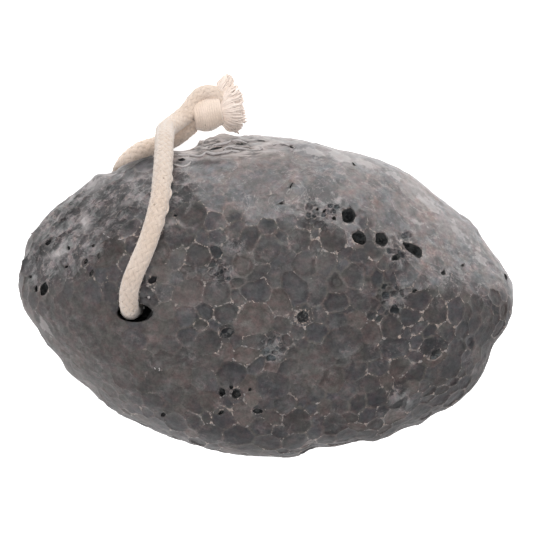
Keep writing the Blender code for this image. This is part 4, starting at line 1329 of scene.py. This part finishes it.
def loose_loop(sweep, path, place, stand):
    """A yarn that stands a little out of the strand's edge."""
    step = np.linalg.norm(path[1] - path[0])
    edge = unit(np.cross(unit(np.gradient(path, axis=0)), (0, 0, 1.0)))
    edge *= np.sign(edge[:, :1])
    stations = []
    for share in np.linspace(-1, 1, 9):
        k = len(path) - 1 - round((place + share * LOOP_REACH) / step)
        stations.append(path[k] + edge[k] * (CORD_DIAMETER / 2 - 0.55 + (stand + 0.3) * (1 - share * share)))
    sweep.tube(smooth_route(stations, 0.35), 0.36, 0.36)


def fuzz(sweep, path, count, radius):
    """Fine fibre ends that stand off a strand."""
    chance = random.Random(count)
    tangents, side, up = carried_frames(path)
    for _ in range(count):
        k = chance.randrange(len(path))
        angle = chance.uniform(0, math.tau)
        out = math.cos(angle) * side[k] + math.sin(angle) * up[k]
        ahead = tangents[k] * chance.uniform(-0.9, 0.9)
        start = path[k] + out * radius * 0.93
        length = chance.uniform(0.15, 0.7)
        stations = [start, start + out * length * 0.6 + ahead * length * 0.5,
                    start + out * length * 0.8 + ahead * length]
        if min(station[2] for station in stations) > 0.05:
            sweep.tube(stations, FUZZ_RADII, FUZZ_RADII, sides=3, sunk_shade=-0.3)


def lay_strand(name, route, look, loops):
    """One strand of the cord, and its path in metres."""
    sweep = Sweep(strand_shading)
    braid(sweep, route, look)
    for place, stand in loops:
        loose_loop(sweep, smooth_route(route, 0.4), place, stand)
    outside = smooth_route(route, FUZZ_STEP)
    fuzz(sweep, outside[int(look.hidden_length / FUZZ_STEP):], look.fuzz, CORD_DIAMETER / 2)
    item = sweep.finish(name)
    item.data.materials.append(look.cotton_finish())
    return item, smooth_route(route, 1.5) * MM


def strand_shading(point):
    """Painted light and shade on a strand: lighter low down by the knot, darker higher up, and a painted
    contact shadow where it rubs on the stone's edge.
    """
    fade_and_shade = np.interp(point[2], SHADE_HEIGHTS, HEIGHT_SHADES)
    if point[2] < CONTACT_SHADE_HEIGHT:
        away = sum((point[axis] - CONTACT_SHADE_START[axis]) * CONTACT_SHADE_AWAY[axis] for axis in (0, 1))
        fade_and_shade -= np.interp(away, (-3.0, -1.0, 0.2, 1.8), (0.0, 1.5, 1.5, 0.0))
    return float(fade_and_shade)


def tie_knot(look):
    """The overhand knot and its frayed ends, as one piece."""
    sweep = Sweep()
    chance = random.Random(look.fray_seed)
    for route, radius in KNOT_STRANDS:
        braid(sweep, route, look, radius)
    wrap_band(sweep)
    fuzz(sweep, smooth_route(UPPER_LOOP, 0.4), look.fuzz // 5, 1.5)
    fuzz(sweep, smooth_route(STRAND_END, 0.4), look.fuzz // 8, 1.85)
    for root, bend, tip, spread, count in TAILS:
        fray(sweep, chance, root, bend, tip, spread, count)
    return sweep.finish("knot")


def wrap_band(sweep):
    """Yarns wound side by side round the knot, over a plain filling."""
    places, middles, halves = zip(*BAND)
    for number, x in enumerate(BAND_YARNS):
        middle, half = np.interp(x, places, middles), np.interp(x, places, halves)
        loop = []
        for turn in np.linspace(0, math.tau, 41):
            across, up = math.cos(turn), math.sin(turn)
            rough = 0.10 * noise(Vector((number * 0.35, across * 1.5, up * 1.5)))
            loop.append((x - BAND_SLANT * across + rough, middle + (half + rough) * across,
                         BAND_LEVEL + (BAND_RISE + rough) * up))
        # The band is painted lighter
        sweep.tube(loop, 0.36, 0.42, sides=8, sunk_shade=-0.2, fade_and_shade=0.5)
    inner = np.array([(x, middle, BAND_LEVEL) for x, middle, _ in BAND])
    upwards = np.tile((0.0, 0.0, 1.0), (len(inner), 1))
    sweep.tube(inner, 0.85 * np.array(halves), 2.1, sides=14, out=upwards, fade_and_shade=0.9)


def fray(sweep, chance, root, bend, tip, spread, count):
    """Unlaid yarns that fan out from a root."""
    root, bend, tip = (np.array(point) for point in (root, bend, tip))
    ahead = (tip - bend) / np.linalg.norm(tip - bend)
    side = np.cross(ahead, (0, 0, 1.0))
    up = np.cross(side, ahead)
    for _ in range(count):
        angle = chance.uniform(0, math.tau)
        reach = math.sqrt(chance.random())
        off = side * math.cos(angle) + up * math.sin(angle) * 0.75
        end = tip + off * spread * reach + ahead * chance.triangular(-2.0, 0.9, 0.3) - ahead * reach * 0.5
        end[2] = max(end[2], 0.5)
        middle = bend + off * 0.95 * reach
        stray = (middle + end) / 2 + off * chance.uniform(-0.5, 0.5)
        stations = smooth_route((root + off * 0.5 * reach, middle, stray, end), 0.45)
        taper = np.linspace(1.0, 0.6, len(stations))
        # The frayed ends are painted lighter, and given their faded colour
        sweep.tube(stations, 0.3 * taper, 0.28 * taper, sides=5, sunk_shade=-0.6, fade_and_shade=0.8)


# ---------------------------------------------------------------- properties


def tint(name, what, default):
    """A colour that a user can change."""
    return bpy.props.FloatVectorProperty(
        name=name, description=f"Colour of {what}", subtype="COLOR", size=3, min=0, max=1, default=default)


class FootStoneLook(bpy.types.PropertyGroup):
    cool_floor: tint("Cool floors", "the bluer bubble floors", (0.060, 0.058, 0.064))
    warm_floor: tint("Warm floors", "the browner bubble floors", (0.080, 0.070, 0.066))
    rose_floor: tint("Rose floors", "the few floors that are pale and pinkish", (0.125, 0.100, 0.092))
    ground: tint("Ground", "the lava between the bubbles", (0.100, 0.087, 0.080))
    # The flank colours are painted paler than the floors: the skin's milky veil and painted sheen
    flank_warm: tint("Warm flanks", "the paler brown blotches on the upper flanks", (0.172, 0.141, 0.133))
    flank_cool: tint("Cool flanks", "the blue grey blotches on the upper flanks", (0.114, 0.111, 0.116))
    flank_deep: tint("Flank bubbles", "the darker bubbles on the upper flanks", (0.086, 0.085, 0.090))
    wall_grey: tint("Grey walls", "the greyer bubble walls", (0.28, 0.27, 0.27))
    wall_warm: tint("Warm walls", "the pinker bubble walls", (0.45, 0.36, 0.31))
    rubble_dark: tint("Dark rubble", "the dark patches where the stone is crumbled", (0.042, 0.039, 0.041))
    rubble_pale: tint("Pale rubble", "the pale patches where the stone is crumbled", (0.165, 0.155, 0.157))
    # Also the colour of the painted highlights: glints, fold crests and sheen on the skin
    milk_and_highlight: tint("Milk and highlights", "the smears and creases in the clear skin", (0.42, 0.39, 0.385))
    skin_gloss: bpy.props.FloatProperty(
        name="Skin gloss", description="How strongly the clear skin shines", min=0, max=1, default=0.7)


class CottonCordLook(bpy.types.PropertyGroup):
    cotton: tint("Cotton", "the cotton", (0.74, 0.62, 0.53))
    cotton_warm: tint("Warm cotton", "the cotton where it is browner", (0.69, 0.56, 0.46))
    cotton_faded: tint("Faded cotton", "the cotton in the frayed ends", (0.93, 0.86, 0.83))
    # Colour of the painted contact shadow on the back strand
    cotton_contact_shade: tint("Shaded cotton", "the cotton where it rubs on the stone", (0.24, 0.175, 0.13))
    # Colour of the painted shade along the cord's edges
    cotton_edge_shade: tint("Cotton edge", "the fuzz where the cord turns from view", (0.56, 0.512, 0.475))
    yarns: bpy.props.IntProperty(
        name="Yarns", description="Yarns that wind each way", min=3, max=12, default=8)
    yarn_width: bpy.props.FloatProperty(
        name="Yarn width", description="Half a yarn's width, as a share of the cord's radius",
        min=0.1, max=0.6, default=0.34)
    braid_turn: bpy.props.FloatProperty(
        name="Braid turn", description="Length in millimetres in which a yarn goes once round",
        min=4, max=40, default=15.0)
    braid_step: bpy.props.FloatProperty(
        name="Braid step", description="Length in millimetres of one step along a yarn",
        min=0.1, max=2, default=0.4)
    fuzz: bpy.props.IntProperty(
        name="Fuzz", description="Fine fibre ends that stand off each strand", min=0, max=5000, default=700)
    hidden_length: bpy.props.FloatProperty(
        name="Hidden length", description="Length in millimetres of each strand inside the stone",
        min=0, max=40, default=17.0)
    fray_seed: bpy.props.IntProperty(
        name="Fray seed", description="Chooses how the frayed ends fall", default=4)

    def cotton_finish(self):
        return bpy.data.materials.get("cotton_yarn") or cotton_material(self)


class StageLook(bpy.types.PropertyGroup):
    table_color: tint("Table", "the table top", (0.85, 0.85, 0.85))
    table_glow: bpy.props.FloatProperty(
        name="Table glow", description="Light that the table top gives by itself", min=0, default=0.8)
    view_height: bpy.props.FloatProperty(
        name="View height", description="Height of the camera over the stone's widest level",
        unit="LENGTH", default=1.0)
    view_width: bpy.props.FloatProperty(
        name="View width", description="Width that the camera sees at the stone's widest level",
        unit="LENGTH", default=0.1079)


# ---------------------------------------------------------------- operators


class FOOTSTONE_OT_stage(bpy.types.Operator):
    """Add the table, the lights and the camera"""

    bl_idname = "foot_stone.stage"
    bl_label = "Stage"

    def execute(self, context):
        look = context.scene.stage_look
        bpy.ops.mesh.primitive_grid_add(x_subdivisions=4, y_subdivisions=4, size=TABLE_SIZE)
        table = context.active_object
        table.name = "table"
        table.data.materials.append(floor_material(look))
        self.camera(context, look)
        self.world(context)
        for row in LAMPS:
            self.lamp(*row)
        return {"FINISHED"}

    @staticmethod
    def camera(context, look):
        data = bpy.data.cameras.new("camera")
        item = bpy.data.objects.new("camera", data)
        section("stage").objects.link(item)
        item.location = (*VIEW_MIDDLE, BACK_DROP * MM + look.view_height)
        data.sensor_width = SENSOR_WIDTH
        data.lens = data.sensor_width * look.view_height / look.view_width
        data.clip_start = 0.05
        context.scene.camera = item

    @staticmethod
    def world(context):
        world = bpy.data.worlds.new("studio")
        world.use_nodes = True
        back = world.node_tree.nodes["Background"]
        back.inputs["Color"].default_value = ROOM_COLOR
        back.inputs["Strength"].default_value = ROOM_LIGHT
        context.scene.world = world
        context.scene.view_settings.view_transform = "Standard"

    @staticmethod
    def lamp(name, spot, size, power, color):
        data = bpy.data.lights.new(name, "AREA")
        data.shape = "RECTANGLE"
        data.size, data.size_y = size
        data.energy = power
        data.color = color
        item = bpy.data.objects.new(name, data)
        item.location = spot
        item.rotation_euler = (Vector(LAMP_AIM) - Vector(spot)).to_track_quat("-Z", "Y").to_euler()
        item.visible_camera = False
        section("stage").objects.link(item)


class FOOTSTONE_OT_cord(bpy.types.Operator):
    """Lay both strands of the cotton cord and tie their knot"""

    bl_idname = "foot_stone.cord"
    bl_label = "Cotton cord"

    def execute(self, context):
        look = context.scene.cord_look
        knot = tie_knot(look)
        knot.data.materials.append(look.cotton_finish())
        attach(knot, "root")
        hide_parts("cord_knot")
        for name, node, route, loops in (("front_strand", "cord_front", FRONT_ROUTE, LOOSE_LOOPS),
                                         ("back_strand", "cord_back", BACK_ROUTE, ())):
            strand, path = lay_strand(name, route, look, loops)
            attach(strand, "root")
            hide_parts(node)
        return {"FINISHED"}


class FOOTSTONE_OT_stone(bpy.types.Operator):
    """Make the lava stone with its burst bubbles and drilled hole"""

    bl_idname = "foot_stone.stone"
    bl_label = "Stone"

    def execute(self, context):
        look = context.scene.stone_look
        form = Form()
        points, faces, per_point, per_face = stone_shape(form, Bubbles(form))
        middle = (points[:, :2].min(axis=0) + points[:, :2].max(axis=0)) / 2
        points[:, :2] -= middle
        points[:, 2] = np.maximum(points[:, 2], 0.0)
        item = mesh_piece("lava_stone", points, faces, per_point, per_face)
        finish_surface(item, form)
        item.data.materials.clear()
        item.data.materials.append(LavaFinish(look).material)
        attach(item, "root")
        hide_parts("stone")
        return {"FINISHED"}


class FOOTSTONE_PT_panel(bpy.types.Panel):
    """Sizes, colours and makers of the foot stone"""

    bl_label = "Foot stone"
    bl_idname = "FOOTSTONE_PT_panel"
    bl_space_type = "VIEW_3D"
    bl_region_type = "UI"
    bl_category = "Foot stone"

    def draw(self, context):
        for maker, group in (("foot_stone.stage", "stage_look"), ("foot_stone.cord", "cord_look"),
                             ("foot_stone.stone", "stone_look")):
            box = self.layout.box()
            values = getattr(context.scene, group)
            for name in values.__annotations__:
                box.prop(values, name)
            box.operator(maker)


GROUPS = {"stone_look": FootStoneLook, "cord_look": CottonCordLook, "stage_look": StageLook}
CLASSES = (*GROUPS.values(), FOOTSTONE_OT_stage, FOOTSTONE_OT_cord, FOOTSTONE_OT_stone, FOOTSTONE_PT_panel)


def register():
    for kind in CLASSES:
        bpy.utils.register_class(kind)
    for name, kind in GROUPS.items():
        setattr(bpy.types.Scene, name, bpy.props.PointerProperty(type=kind))


def unregister():
    for name in GROUPS:
        delattr(bpy.types.Scene, name)
    for kind in reversed(CLASSES):
        bpy.utils.unregister_class(kind)


def plain(box):
    return [[float(value) for value in corner] for corner in box]


def main():
    register()
    bpy.ops.foot_stone.stage()
    bpy.ops.foot_stone.cord()
    bpy.ops.foot_stone.stone()


if __name__ == "__main__":
    main()
